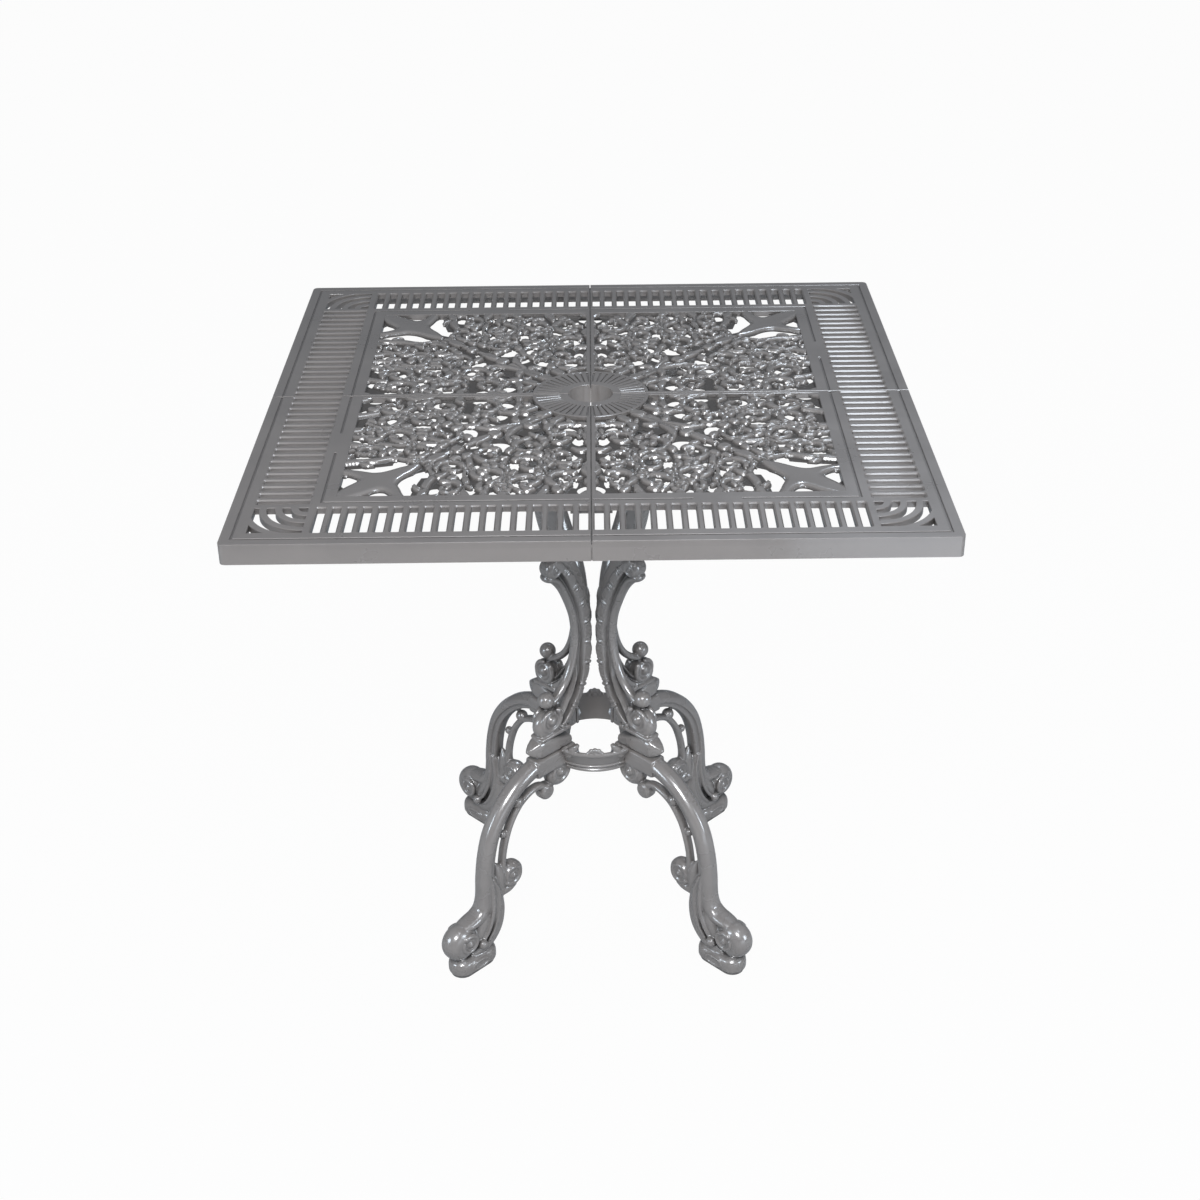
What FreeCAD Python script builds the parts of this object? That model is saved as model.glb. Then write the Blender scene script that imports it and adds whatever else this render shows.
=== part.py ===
import FreeCAD, Part
import math
import os
from FreeCAD import Placement, Rotation, Vector

# Umbrella table: four top panels on four scrolled legs with a ring between them.
# Millimetres, +Z up, origin on the floor under the middle of the pole hole.
# The front is the -Y side. Each leg stands on a diagonal of the top.

SIZES = {
    # the whole table
    "table_width": 750,
    "table_height": 730,
    "seam_gap": 1.5,
    # top panels
    "corner_radius": 6,
    "rim_depth": 23,
    "rim_wall": 3.5,
    "rim_bevel": 1.2,
    "deck_thickness": 7.5,
    "relief_height": 2.5,
    "pole_hole_radius": 26.25,
    "pole_wall": 3.8,
    "pole_wall_depth": 23,
    "rosette_radius": 68.5,
    "flute_inner_radius": 37,
    "flute_outer_radius": 63,
    "flute_step_angle": 7.5,
    "flute_width": 1.4,
    "groove_width": 1.6,
    "groove_depth": 0.8,
    "border_groove_offset": 12.8,
    "slot_outer_offset": 25.5,
    "slot_length": 56,
    "slot_width": 9.4,
    "slot_pitch": 16,
    "slot_first_centre": 8,
    "fan_band_width": 8.7,
    "fan_band_pitch": 16.7,
    "fan_first_radius": 9.8,
    "frame_groove_offset": 94,
    "window_offset": 107.5,
    "seam_bar_width": 5,
    "bare_patch_start": 106,
    "bare_patch_length": 52,
    # scroll lattice, drawn for a window of this width
    "lattice_drawn_width": 267.5,
    # upper brackets
    "joint_height": 263,
    "bracket_thickness": 23,
    "waist_inner_radius": 14.5,
    "pad_inner_radius": 40,
    "pad_outer_radius": 146,
    "pad_width": 42,
    "pad_thickness": 6,
    "low_roll_radius": 21,
    "low_roll_length": 30,
    "high_roll_radius": 12,
    "high_roll_length": 28,
    "bracket_ball_radius": 10.8,
    "ball_arm_width": 9,
    "ball_arm_thickness": 12,
    "flange_outer_radius": 122,
    "flange_inner_radius": 50,
    "flange_height": 27,
    # lower legs
    "foot_radius": 229,
    "foot_length": 70,
    "foot_width": 36,
    "foot_height": 20,
    "leg_thickness": 24,
    "leg_head_inner_radius": 44,
    "leg_head_outer_radius": 114,
    "leg_head_depth": 27,
    "rib_width": 22,
    "rail_width": 9,
    "rail_thickness": 13,
    "knee_roll_radius": 20,
    "calf_roll_radius": 19,
    "toe_roll_radius": 25,
    "glide_height": 4,
    "glide_inset": 3,
    # ring between the legs
    "ring_low_radius": 62.5,
    "ring_high_radius": 74.5,
    "ring_low_height": 233,
    "ring_high_height": 266,
    "ring_wall": 5,
    "crown_radius": 9,
    "ring_tab_thickness": 4,
    "ring_bolt_radius": 53,
    "ring_bolt_height": 250,
    # ties under the seams
    "tie_length": 22,
    "tie_half_width": 22,
    "tie_thickness": 4,
    "tie_screw_offset": 13,
    # fasteners
    "screw_shank_radius": 2,
    "screw_head_radius": 4,
    "screw_head_height": 2,
    "screw_bite": 5,
    "inner_pad_screw_radius": 56,
    "outer_pad_screw_radius": 132,
    "bolt_shank_radius": 3,
    "bolt_head_height": 4,
    "stud_radius_on_leg": 102,
    "stud_bite": 20,
    "stud_seat_depth": 25,
    "dowel_radius": 3,
    "dowel_length": 20,
    "dowel_radius_on_leg": 80,
    "washer_radius": 7,
    "washer_thickness": 1.2,
    "nut_width": 10,
    "nut_height": 4.5,
    "clearance": 0.3,
}

document = FreeCAD.newDocument("umbrella_table")
sheet = document.addObject("Spreadsheet::Sheet", "Sizes")
for row, (alias, value) in enumerate(SIZES.items(), start=1):
    sheet.set(f"A{row}", alias)
    sheet.set(f"B{row}", str(value))
    sheet.setAlias(f"B{row}", alias)
document.recompute()

UP = Vector(0, 0, 1)
ACROSS = Vector(0, 1, 0)
KNEE = (70, 223)
KNEE_LENGTH = 28
QUARTERS = {"back_right": 0, "back_left": 90, "front_left": 180, "front_right": 270}
LEG_ANGLE = 45
parts = []


def size(alias):
    """A driving size of the table, read from the sheet."""
    return float(sheet.get(alias))


half = size("table_width") / 2
seam = size("seam_gap") / 2
top = size("table_height")
underside = top - size("deck_thickness")
gap = size("clearance")


def keep(label, shape, angle=0.0):
    """Adds one sub-part that is turned about the table's axis."""
    part = document.addObject("Part::Feature", label)
    part.Label = label
    part.Shape = shape
    part.Placement = Placement(Vector(), Rotation(UP, angle))
    parts.append(part)
    return part


# Flat drawing of the top, in the quarter with x > 0 and y > 0

def rectangle(x_low, y_low, x_high, y_high):
    """A flat rectangle between two corners."""
    return Part.Face(Part.makePolygon([
        Vector(x_low, y_low), Vector(x_high, y_low), Vector(x_high, y_high), Vector(x_low, y_high),
        Vector(x_low, y_low)
    ]))


def disc(x, y, radius):
    """A flat round disc."""
    return Part.Face(Part.Wire(Part.makeCircle(radius, Vector(x, y, 0))))


def arc_ribbon(centre, radius, start, end, wide_start, wide_end):
    """A band along an arc whose width changes from one end to the other; angles in degrees."""
    outer = []
    inner = []
    for share in (0.0, 0.5, 1.0):
        angle = math.radians(start + (end - start) * share)
        reach = (wide_start + (wide_end - wide_start) * share) / 2
        way = Vector(math.cos(angle), math.sin(angle), 0)
        outer.append(centre + way * (radius + reach))
        inner.append(centre + way * (radius - reach))
    edges = [
        Part.Arc(*outer).toShape(),
        Part.makeLine(outer[2], inner[2]),
        Part.Arc(*reversed(inner)).toShape(),
        Part.makeLine(inner[0], outer[0]),
    ]
    return Part.Face(Part.Wire(edges))


def curl(x, y, radius, start, half_turns, width, turn=1):
    """A scroll: half circles that tighten towards an eye; turn is 1 to the left and -1 to the right."""
    faces = []
    centre = Vector(x, y, 0)
    angle = start
    for step in range(half_turns):
        thin = width * 0.86
        faces.append(arc_ribbon(centre, radius, angle, angle + 180 * turn, width, thin))
        opposite = math.radians(angle + 180)
        end = centre + Vector(math.cos(opposite), math.sin(opposite), 0) * radius
        smaller = radius * 0.62
        centre = end + (centre - end) * (smaller / radius)
        radius = smaller
        angle += 180 * turn
        width = thin
    faces.append(disc(end.x, end.y, width * 0.75))
    return faces


def leaf(points, widths):
    """A leaf or stem along points, as straight tapered lengths with round joints."""
    faces = []
    for number in range(len(points) - 1):
        first = Vector(*points[number], 0)
        second = Vector(*points[number + 1], 0)
        side = (second - first).cross(UP).normalize()
        near = side * (widths[number] / 2)
        far = side * (widths[number + 1] / 2)
        outline = [first + near, second + far, second - far, first - near, first + near]
        faces.append(Part.Face(Part.makePolygon(outline)))
        faces.append(disc(second.x, second.y, widths[number + 1] / 2))
    faces.append(disc(*points[0], widths[0] / 2))
    return faces


def opening(x, y, length, width, angle, bend=0.0):
    """An opening between leaves: two arcs that meet in points; a bend makes it a crescent."""
    way = math.radians(angle)
    along = Vector(math.cos(way), math.sin(way), 0)
    side = Vector(-along.y, along.x, 0)
    middle = Vector(x, y, 0)
    first = middle - along * (length / 2)
    last = middle + along * (length / 2)
    low = middle + side * (bend - width / 2)
    high = middle + side * (bend + width / 2)
    sides = [Part.Arc(first, low, last).toShape(), Part.Arc(last, high, first).toShape()]
    return Part.Face(Part.Wire(sides))


def half_openings():
    """The openings between the seam on x = 0 and the diagonal, from the rosette out to the frame."""
    faces = [opening(*sizes) for sizes in (
        (12, 77, 17, 7, 8), (28, 97, 17, 7, 80, 2), (16, 128, 17, 9, 105, 2), (44, 127, 13, 5.5, 70),
        (63, 105, 20, 6, 60, -2), (82, 119, 19, 7, 100, 2), (76, 151, 26, 8, 95, -2), (46, 148, 9, 6, 20),
        (24, 173, 21, 9, 60, 3), (40, 166, 13, 5.5, 110, 2), (16, 189, 10, 6, 10), (53, 187, 10, 8, 40),
        (104, 141, 24, 11, 125, 3), (122, 151, 8, 6, 60), (47, 206, 11, 7, 20), (17, 206, 10, 8, 60),
        (88, 191, 22, 9, 75, 3), (101, 186, 14, 4, 95), (124, 189, 13, 4.5, 80), (98, 205, 9, 6.5, 30),
        (28, 236, 25, 10, 130, 3), (10, 234, 18, 7, 95), (20, 257, 10, 8, 0), (68, 229, 13, 8, 20, 2),
        (61, 243, 13, 5, 95, 2), (86, 246, 26, 9, 88, 2), (101, 225, 10, 7, 70), (114, 205, 19, 7, 100, -2),
        (119, 231, 13, 7, 60, 2), (129, 222, 9, 6, 110), (145, 211, 22, 8, 80, -2), (151, 180, 14, 9, 50, 2),
        (160, 195, 12, 6, 150), (136, 250, 19, 9, 105, 2), (120, 263, 12, 6, 0), (167, 252, 11, 9, 70),
        (178, 209, 24, 9, 45, 1), (191, 240, 42, 11, 75, -6), (221, 260, 17, 10, 90), (44, 262, 12, 6, 0),
        (104, 259, 12, 6, 80), (152, 262, 12, 6, 20), (60, 172, 10, 5, 100), (105, 168, 12, 5, 30),
        (52, 82, 12, 5, 60), (33, 120, 10, 5, 20), (136, 172, 12, 5, 60), (35, 190, 10, 5, 130),
    )]
    return faces


def diagonal_openings():
    """The openings on the diagonal and the narrow crescents that part the rosette from the scrollwork."""
    faces = [disc(101, 101, 3.2), opening(132, 132, 15, 8, -45, 1), opening(164, 164, 12, 6, 45)]
    radius = size("rosette_radius") + 2.4
    for start in (14, 48):
        faces.append(arc_ribbon(Vector(), radius, start, start + 28, 3.4, 3.4))
    return faces


def half_scrolls():
    """The raised scrolls and leaves between the seam on x = 0 and the diagonal."""
    faces = []
    for sizes in (
        (20, 110, 13, 200, 3, 7.5), (28, 157, 16, 20, 3, 7.5, -1), (63, 212, 23, 60, 4, 10, -1),
        (20, 222, 15, 90, 3, 7), (104, 160, 17, 250, 3, 8), (116, 218, 19, 120, 3, 9),
        (74, 88, 12, 160, 3, 6.5),
        (152, 236, 13, 300, 3, 7, -1), (142, 190, 12, 30, 3, 6.5),
    ):
        faces += curl(*sizes)
    for points, widths in (
        ([(34, 66), (52, 96), (52, 124), (60, 150), (64, 180), (86, 206), (76, 240), (70, 270)],
         [12, 10, 12, 9, 10, 9, 8, 12]),
        ([(92, 104), (96, 124), (88, 150), (76, 178), (52, 176), (34, 188)], [8, 9, 10, 9, 8, 6]),
        ([(3, 92), (24, 86), (44, 100)], [8, 8, 6]), ([(3, 148), (22, 140), (34, 134)], [8, 8, 6]),
        ([(3, 204), (22, 196), (40, 200), (44, 226), (42, 250), (36, 270)], [7, 7, 7, 8, 8, 12]),
        ([(136, 152), (146, 168), (158, 182), (150, 222), (144, 246), (138, 270)], [8, 9, 10, 9, 8, 12]),
        ([(128, 170), (122, 206), (106, 236), (100, 270)], [7, 8, 8, 12]),
        ([(8, 250), (6, 270)], [8, 12]), ([(56, 240), (52, 270)], [8, 12]),
        ([(172, 236), (164, 270)], [8, 14]),
    ):
        faces += leaf(points, widths)
    faces.append(disc(184, 257, 11))
    return faces


def diagonal_scrolls():
    """The raised motifs on the diagonal: the stem with its eye and bud, and the four-lobed corner leaf."""
    faces = [disc(101, 101, 13)]
    for points, widths in (
        ([(46, 46), (70, 70), (92, 92)], [18, 11, 14]),
        ([(101, 101), (118, 118), (144, 144), (162, 162), (178, 178), (219, 219)], [12, 10, 24, 14, 15, 20]),
        ([(219, 219), (243, 243), (266, 266)], [22, 20, 16]),
    ):
        faces += leaf(points, widths)
    for flip in (False, True):
        for points, widths in (
            ([(219, 219), (208, 236), (202, 254), (203, 272)], [20, 20, 15, 14]),
            ([(178, 178), (168, 196), (150, 204)], [12, 9, 8]),
            ([(144, 144), (128, 154)], [12, 7]),
        ):
            ends = [(y, x) for x, y in points] if flip else points
            faces += leaf(ends, widths)
    return faces


def fill_window(half_faces, diagonal_faces):
    """A flat drawing of half the window, mirrored in the diagonal and stretched to the window's width."""
    mirror = Vector(1, -1, 0).normalize()
    faces = half_faces + [face.mirror(Vector(), mirror) for face in half_faces] + diagonal_faces
    share = (half - size("window_offset")) / size("lattice_drawn_width")
    if abs(share - 1) > 1e-9:
        stretch = FreeCAD.Matrix()
        stretch.scale(share, share, 1)
        faces = [face.transformGeometry(stretch) for face in faces]
    return faces


def merge(faces):
    """One flat face from many that overlap: its outline is made of the edges that only one of them has."""
    uses = {}
    for face in faces[0].fuse(faces[1:]).Faces:
        for edge in face.Edges:
            uses.setdefault(edge.hashCode(), []).append(edge)
    border = [edges[0] for edges in uses.values() if len(edges) == 1]
    wires = [Part.Wire(chain) for chain in Part.sortEdges(border)]
    wires = [wire for wire in wires if Part.Face(wire).Area > 0.5]
    return Part.makeFace(wires, "Part::FaceMakerBullseye")


def slot_faces():
    """The slots along both outer sides."""
    outer = half - size("slot_outer_offset")
    inner = outer - size("slot_length")
    wide = size("slot_width") / 2
    room = inner - wide - size("slot_first_centre") - (size("slot_pitch") - size("slot_width")) / 2
    faces = []
    for number in range(int(room // size("slot_pitch")) + 1):
        middle = size("slot_first_centre") + number * size("slot_pitch")
        faces.append(rectangle(middle - wide, inner, middle + wide, outer))
        faces.append(rectangle(inner, middle - wide, outer, middle + wide))
    return faces


def fan_faces():
    """The quarter-round openings of the corner fan, and the small one in the corner beyond them."""
    outer = half - size("slot_outer_offset")
    inner = outer - size("slot_length")
    square = rectangle(inner, inner, outer, outer)
    start = size("fan_first_radius")
    faces = [disc(inner, inner, start).common(square)]
    far = start
    while far + size("fan_band_pitch") < size("slot_length") + size("fan_band_width"):
        far += size("fan_band_pitch")
        band = disc(inner, inner, far).cut(disc(inner, inner, far - size("fan_band_width")))
        faces.append(band.common(square))
    rest = far + size("fan_band_pitch") - size("fan_band_width")
    faces.append(square.cut(disc(inner, inner, rest)))
    return [face for face in faces if face.Area > 1]


def outline_face(inset):
    """The quarter's outline, drawn in from the table's edge, with the round outer corner."""
    edge = half - inset
    radius = max(size("corner_radius") - inset, 0.5)
    square = rectangle(seam, seam, edge, edge)
    corner = rectangle(edge - radius, edge - radius, edge, edge)
    return square.cut(corner.cut(disc(edge - radius, edge - radius, radius)))


def groove_boxes():
    """The shallow lines along the rim and round the window, with the bare patch on one side."""
    wide = size("groove_width")
    deep = size("groove_depth")
    floor = top - deep
    edge = half - size("border_groove_offset")
    frame = half - size("frame_groove_offset")
    start = size("bare_patch_start")
    end = start + size("bare_patch_length")
    boxes = []
    for x_low, y_low, x_high, y_high in (
        (seam, edge, edge + wide, edge + wide),
        (edge, seam, edge + wide, edge + wide),
        (seam, frame, frame + wide, frame + wide),
        (frame, seam, frame + wide, start),
        (frame, end, frame + wide, frame + wide),
    ):
        boxes.append(Part.makeBox(x_high - x_low, y_high - y_low, deep * 2, Vector(x_low, y_low, floor)))
    return boxes


def flute_boxes():
    """The fine radial flutes of the rosette's quarter."""
    length = size("flute_outer_radius") - size("flute_inner_radius")
    wide = size("flute_width")
    deep = size("groove_depth")
    step = size("flute_step_angle")
    boxes = []
    for number in range(int(90 // step)):
        box = Part.makeBox(length, wide, deep * 2, Vector(size("flute_inner_radius"), -wide / 2, top - deep))
        box.rotate(Vector(), UP, (number + 0.5) * step)
        boxes.append(box)
    return boxes


def pad_screw_places():
    """The two screws that hold a panel on its bracket, as distances along the diagonal."""
    return (size("inner_pad_screw_radius"), size("outer_pad_screw_radius"))


def tie_middle():
    """The middle of a seam tie, under the solid band between the window and the slots."""
    band_low = half - size("window_offset")
    band_high = half - size("slot_outer_offset") - size("slot_length")
    return (band_low + band_high) / 2


def pilot_holes():
    """Blind holes for the bracket's screws and the screws of the two seam ties."""
    radius = size("screw_shank_radius") + gap
    depth = size("screw_bite") + gap
    places = []
    for along in pad_screw_places():
        places.append((along * math.cos(math.radians(LEG_ANGLE)), along * math.sin(math.radians(LEG_ANGLE))))
    places.append((size("tie_screw_offset"), tie_middle()))
    places.append((tie_middle(), size("tie_screw_offset")))
    return [Part.makeCylinder(radius, depth, Vector(x, y, underside)) for x, y in places]


def make_panel():
    """One quarter of the top: deck with slots, fan and scrollwork, rim and a quarter of the pole hole."""
    window_edge = half - size("window_offset")
    bar = size("seam_bar_width")
    window = rectangle(bar, bar, window_edge, window_edge).cut(disc(0, 0, size("rosette_radius")))
    openings = fill_window(half_openings(), diagonal_openings())
    deck = outline_face(0).cut(slot_faces() + fan_faces() + [window])
    web = window.cut(openings)
    relief = merge(fill_window(half_scrolls(), diagonal_scrolls())).common(window).cut(openings)
    web_top = top - size("relief_height")
    solids = []
    for face, low, high in ((deck, underside, top), (web, underside, web_top), (relief, web_top, top)):
        solid = face.extrude(Vector(0, 0, high - low))
        solid.translate(Vector(0, 0, low))
        solids.append(solid)
    outer = [edge for edge in solids[0].Edges if edge.BoundBox.ZMin > top - 0.01]
    edge_start = half - size("corner_radius")
    outer = [edge for edge in outer if max(edge.CenterOfMass.x, edge.CenterOfMass.y) > edge_start]
    solids[0] = solids[0].makeChamfer(size("rim_bevel"), outer)
    skirt_depth = size("rim_depth") - size("deck_thickness")
    skirt = outline_face(0).cut(outline_face(size("rim_wall"))).extrude(Vector(0, 0, skirt_depth))
    skirt.translate(Vector(0, 0, top - size("rim_depth")))
    hole = size("pole_hole_radius")
    tube_base = Vector(0, 0, top - size("pole_wall_depth"))
    tube_height = size("pole_wall_depth") - size("groove_depth") * 2
    tube = Part.makeCylinder(hole + size("pole_wall"), tube_height, tube_base)
    quarter = Part.makeBox(half, half, top, Vector(seam, seam, 0))
    panel = solids[0].fuse(solids[1:] + [skirt, tube.common(quarter)])
    bore = Part.makeCylinder(hole, top)
    return panel.cut([bore] + groove_boxes() + flute_boxes() + pilot_holes())


# Cast scrolls of the legs, in the plane of a leg: r out from the axis, z up, thickness across

def bar(stations):
    """A bar along stations of (r, z, width in the plane, thickness across), with rounded edges."""
    wires = []
    for number, (reach, height, width, thick) in enumerate(stations):
        before = stations[max(number - 1, 0)]
        after = stations[min(number + 1, len(stations) - 1)]
        along = Vector(after[0] - before[0], 0, after[1] - before[1]).normalize()
        side = along.cross(ACROSS)
        middle = Vector(reach, 0, height)
        wires.append(rounded_wire(middle, side, width, thick))
    return Part.makeLoft(wires, True, False)


def rounded_wire(middle, side, width, thick):
    """A rounded rectangle across a bar."""
    radius = 0.38 * min(width, thick)
    bend = radius * (1 - math.sqrt(0.5))
    wide = width / 2
    deep = thick / 2
    edges = []
    corners = ((1, 1), (-1, 1), (-1, -1), (1, -1))
    ends = []
    for sign_wide, sign_deep in corners:
        first = (sign_wide * wide, sign_deep * (deep - radius))
        second = (sign_wide * (wide - radius), sign_deep * deep)
        between = (sign_wide * (wide - bend), sign_deep * (deep - bend))
        if sign_wide * sign_deep < 0:
            first, second = second, first
        ends.append([middle + side * a + ACROSS * b for a, b in (first, between, second)])
    for number, points in enumerate(ends):
        edges.append(Part.Arc(*points).toShape())
        edges.append(Part.makeLine(points[2], ends[(number + 1) % 4][0]))
    return Part.Wire(edges)


def roll(reach, height, radius, length, soft):
    """A roll of a scroll: a short barrel across the leg with softened ends."""
    barrel = Part.makeCylinder(radius, length, Vector(reach, -length / 2, height), ACROSS)
    return barrel.makeFillet(soft, [edge for edge in barrel.Edges if edge.Closed])


def ball(reach, height, radius):
    """A bead on a leg."""
    return Part.makeSphere(radius, Vector(reach, 0, height))


def bracket_height(height):
    """A height drawn for the usual table, moved with the joint and the underside of the top."""
    drawn_low = 263.0
    drawn_high = 722.5
    share = (height - drawn_low) / (drawn_high - drawn_low)
    return size("joint_height") + share * (underside - size("joint_height"))


def make_bracket():
    """An upper bracket: S scroll with rolls at both ends, a ball, a flange below and a pad above."""
    thick = size("bracket_thickness")
    waist = size("waist_inner_radius") + 9
    drawn = [
        (96, 718, 40, 30), (90, 690, 28, 25), (84, 640, 23, 0), (74, 590, 22, 0), (60, 548, 24, 0),
        (43.5, 512, 25, 0), (30.5, 476, 22, 0), (waist + 0.5, 436, 18.5, 0), (waist - 0.5, 406, 18, 0),
        (waist + 2, 378, 18.5, 0), (33, 350, 20, 0), (46, 324, 23, 0), (64, 304, 23, 0), (84, 292, 16, 0),
    ]
    stations = [(r, bracket_height(z), wide, deep or thick) for r, z, wide, deep in drawn]
    pieces = [bar(stations)]
    low_roll = (86, bracket_height(306))
    high_roll = (71, bracket_height(527))
    pieces.append(roll(*low_roll, size("low_roll_radius"), size("low_roll_length"), 6))
    pieces.append(roll(*low_roll, 9, size("low_roll_length") + 4, 3))
    pieces.append(roll(*high_roll, size("high_roll_radius"), size("high_roll_length"), 4))
    pieces.append(roll(*high_roll, 6, size("high_roll_length") + 4, 2))
    arm_end = low_roll[1] + size("low_roll_radius") + size("ball_arm_width") / 2 - 1.5
    arm = [(30, 76), (37, 54), (45, 39), (54, 26), (65, 12), (76, 2.5), (86, 0)]
    arm_size = (size("ball_arm_width"), size("ball_arm_thickness"))
    pieces.append(bar([(reach, arm_end + rise, *arm_size) for reach, rise in arm]))
    pieces.append(ball(86, arm_end + size("bracket_ball_radius") - 0.5, size("bracket_ball_radius")))
    pieces.append(make_flange())
    pad_length = size("pad_outer_radius") - size("pad_inner_radius")
    pad = Part.makeBox(pad_length, size("pad_width"), size("pad_thickness"))
    pad_low = underside - size("pad_thickness")
    pad.translate(Vector(size("pad_inner_radius"), -size("pad_width") / 2, pad_low))
    upright = [edge for edge in pad.Edges if abs(edge.tangentAt(edge.FirstParameter).z) > 0.5]
    pad = pad.makeFillet(12, upright)
    pieces.append(pad)
    web_wire = Part.makePolygon([
        Vector(52, -4, underside - 3), Vector(80, -4, underside - 60), Vector(92, -4, underside - 60),
        Vector(136, -4, underside - 3), Vector(52, -4, underside - 3)
    ])
    pieces.append(Part.Face(web_wire).extrude(Vector(0, 8, 0)))
    bracket = pieces[0].fuse(pieces[1:])
    screw = size("screw_shank_radius") + gap
    holes = [
        Part.makeCylinder(screw, size("pad_thickness"), Vector(along, 0, underside - size("pad_thickness")))
        for along in pad_screw_places()
    ]
    head = size("screw_head_radius") + gap
    holes += [
        Part.makeCylinder(head, 70, Vector(along, 0, underside - size("pad_thickness") - 70))
        for along in pad_screw_places()
    ]
    joint = Vector(size("stud_radius_on_leg"), 0, size("joint_height"))
    holes.append(Part.makeCylinder(size("bolt_shank_radius") + gap, size("stud_bite") + gap, joint))
    socket = Vector(size("dowel_radius_on_leg"), 0, size("joint_height"))
    holes.append(Part.makeCylinder(size("dowel_radius") + gap, size("dowel_length") / 2 + gap, socket))
    holes.append(Part.makeBox(half, half, 60, Vector(0, -half / 2, underside)))
    holes.append(Part.makeBox(half, half, 60, Vector(0, -half / 2, size("joint_height") - 60)))
    return bracket.cut(holes).removeSplitter()


def make_flange():
    """The block at a bracket's foot, with a faceted outer end."""
    length = size("flange_outer_radius") - size("flange_inner_radius")
    wide = size("leg_thickness")
    low = size("joint_height")
    corner = Vector(size("flange_inner_radius"), -wide / 2, low)
    block = Part.makeBox(length, wide, size("flange_height"), corner)
    end = [edge for edge in block.Edges if edge.BoundBox.XMin > size("flange_outer_radius") - 0.1]
    end = [edge for edge in end if edge.CenterOfMass.z > low + 1]
    return block.makeChamfer(8, end)


def leg_reach(reach):
    """A distance drawn for the usual table, moved with the foot; the top of the leg stays."""
    drawn_start = 122.0
    drawn_foot = 229.0
    share = min(max((reach - drawn_start) / (drawn_foot - drawn_start), 0), 1)
    return reach + share * (size("foot_radius") - drawn_foot)


def leg_bar(drawn, thick):
    """A bar of the lower leg, from stations of (r, z, width)."""
    lift = size("joint_height") / 263.0
    return bar([(leg_reach(r), z * lift, wide, thick) for r, z, wide in drawn])


def make_foot():
    """The base block under a leg, round ended and a little wider at the bottom."""
    length = size("foot_length")
    wide = size("foot_width")
    low = size("glide_height")
    tall = size("foot_height") - low
    wires = []
    for inset, height in ((0.0, low), (1.0, low + tall * 0.45), (2.0, low + tall)):
        deep = wide / 2 - inset
        reach = length / 2 - inset - deep
        middle = Vector(size("foot_radius"), 0, height)
        inner = [middle + Vector(*step, 0) for step in ((-reach, deep), (-reach - deep, 0), (-reach, -deep))]
        outer = [middle + Vector(*step, 0) for step in ((reach, -deep), (reach + deep, 0), (reach, deep))]
        wires.append(Part.Wire([
            Part.Arc(*inner).toShape(), Part.makeLine(inner[2], outer[0]),
            Part.Arc(*outer).toShape(), Part.makeLine(outer[2], inner[0])
        ]))
    return Part.makeLoft(wires, True, True)


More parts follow.
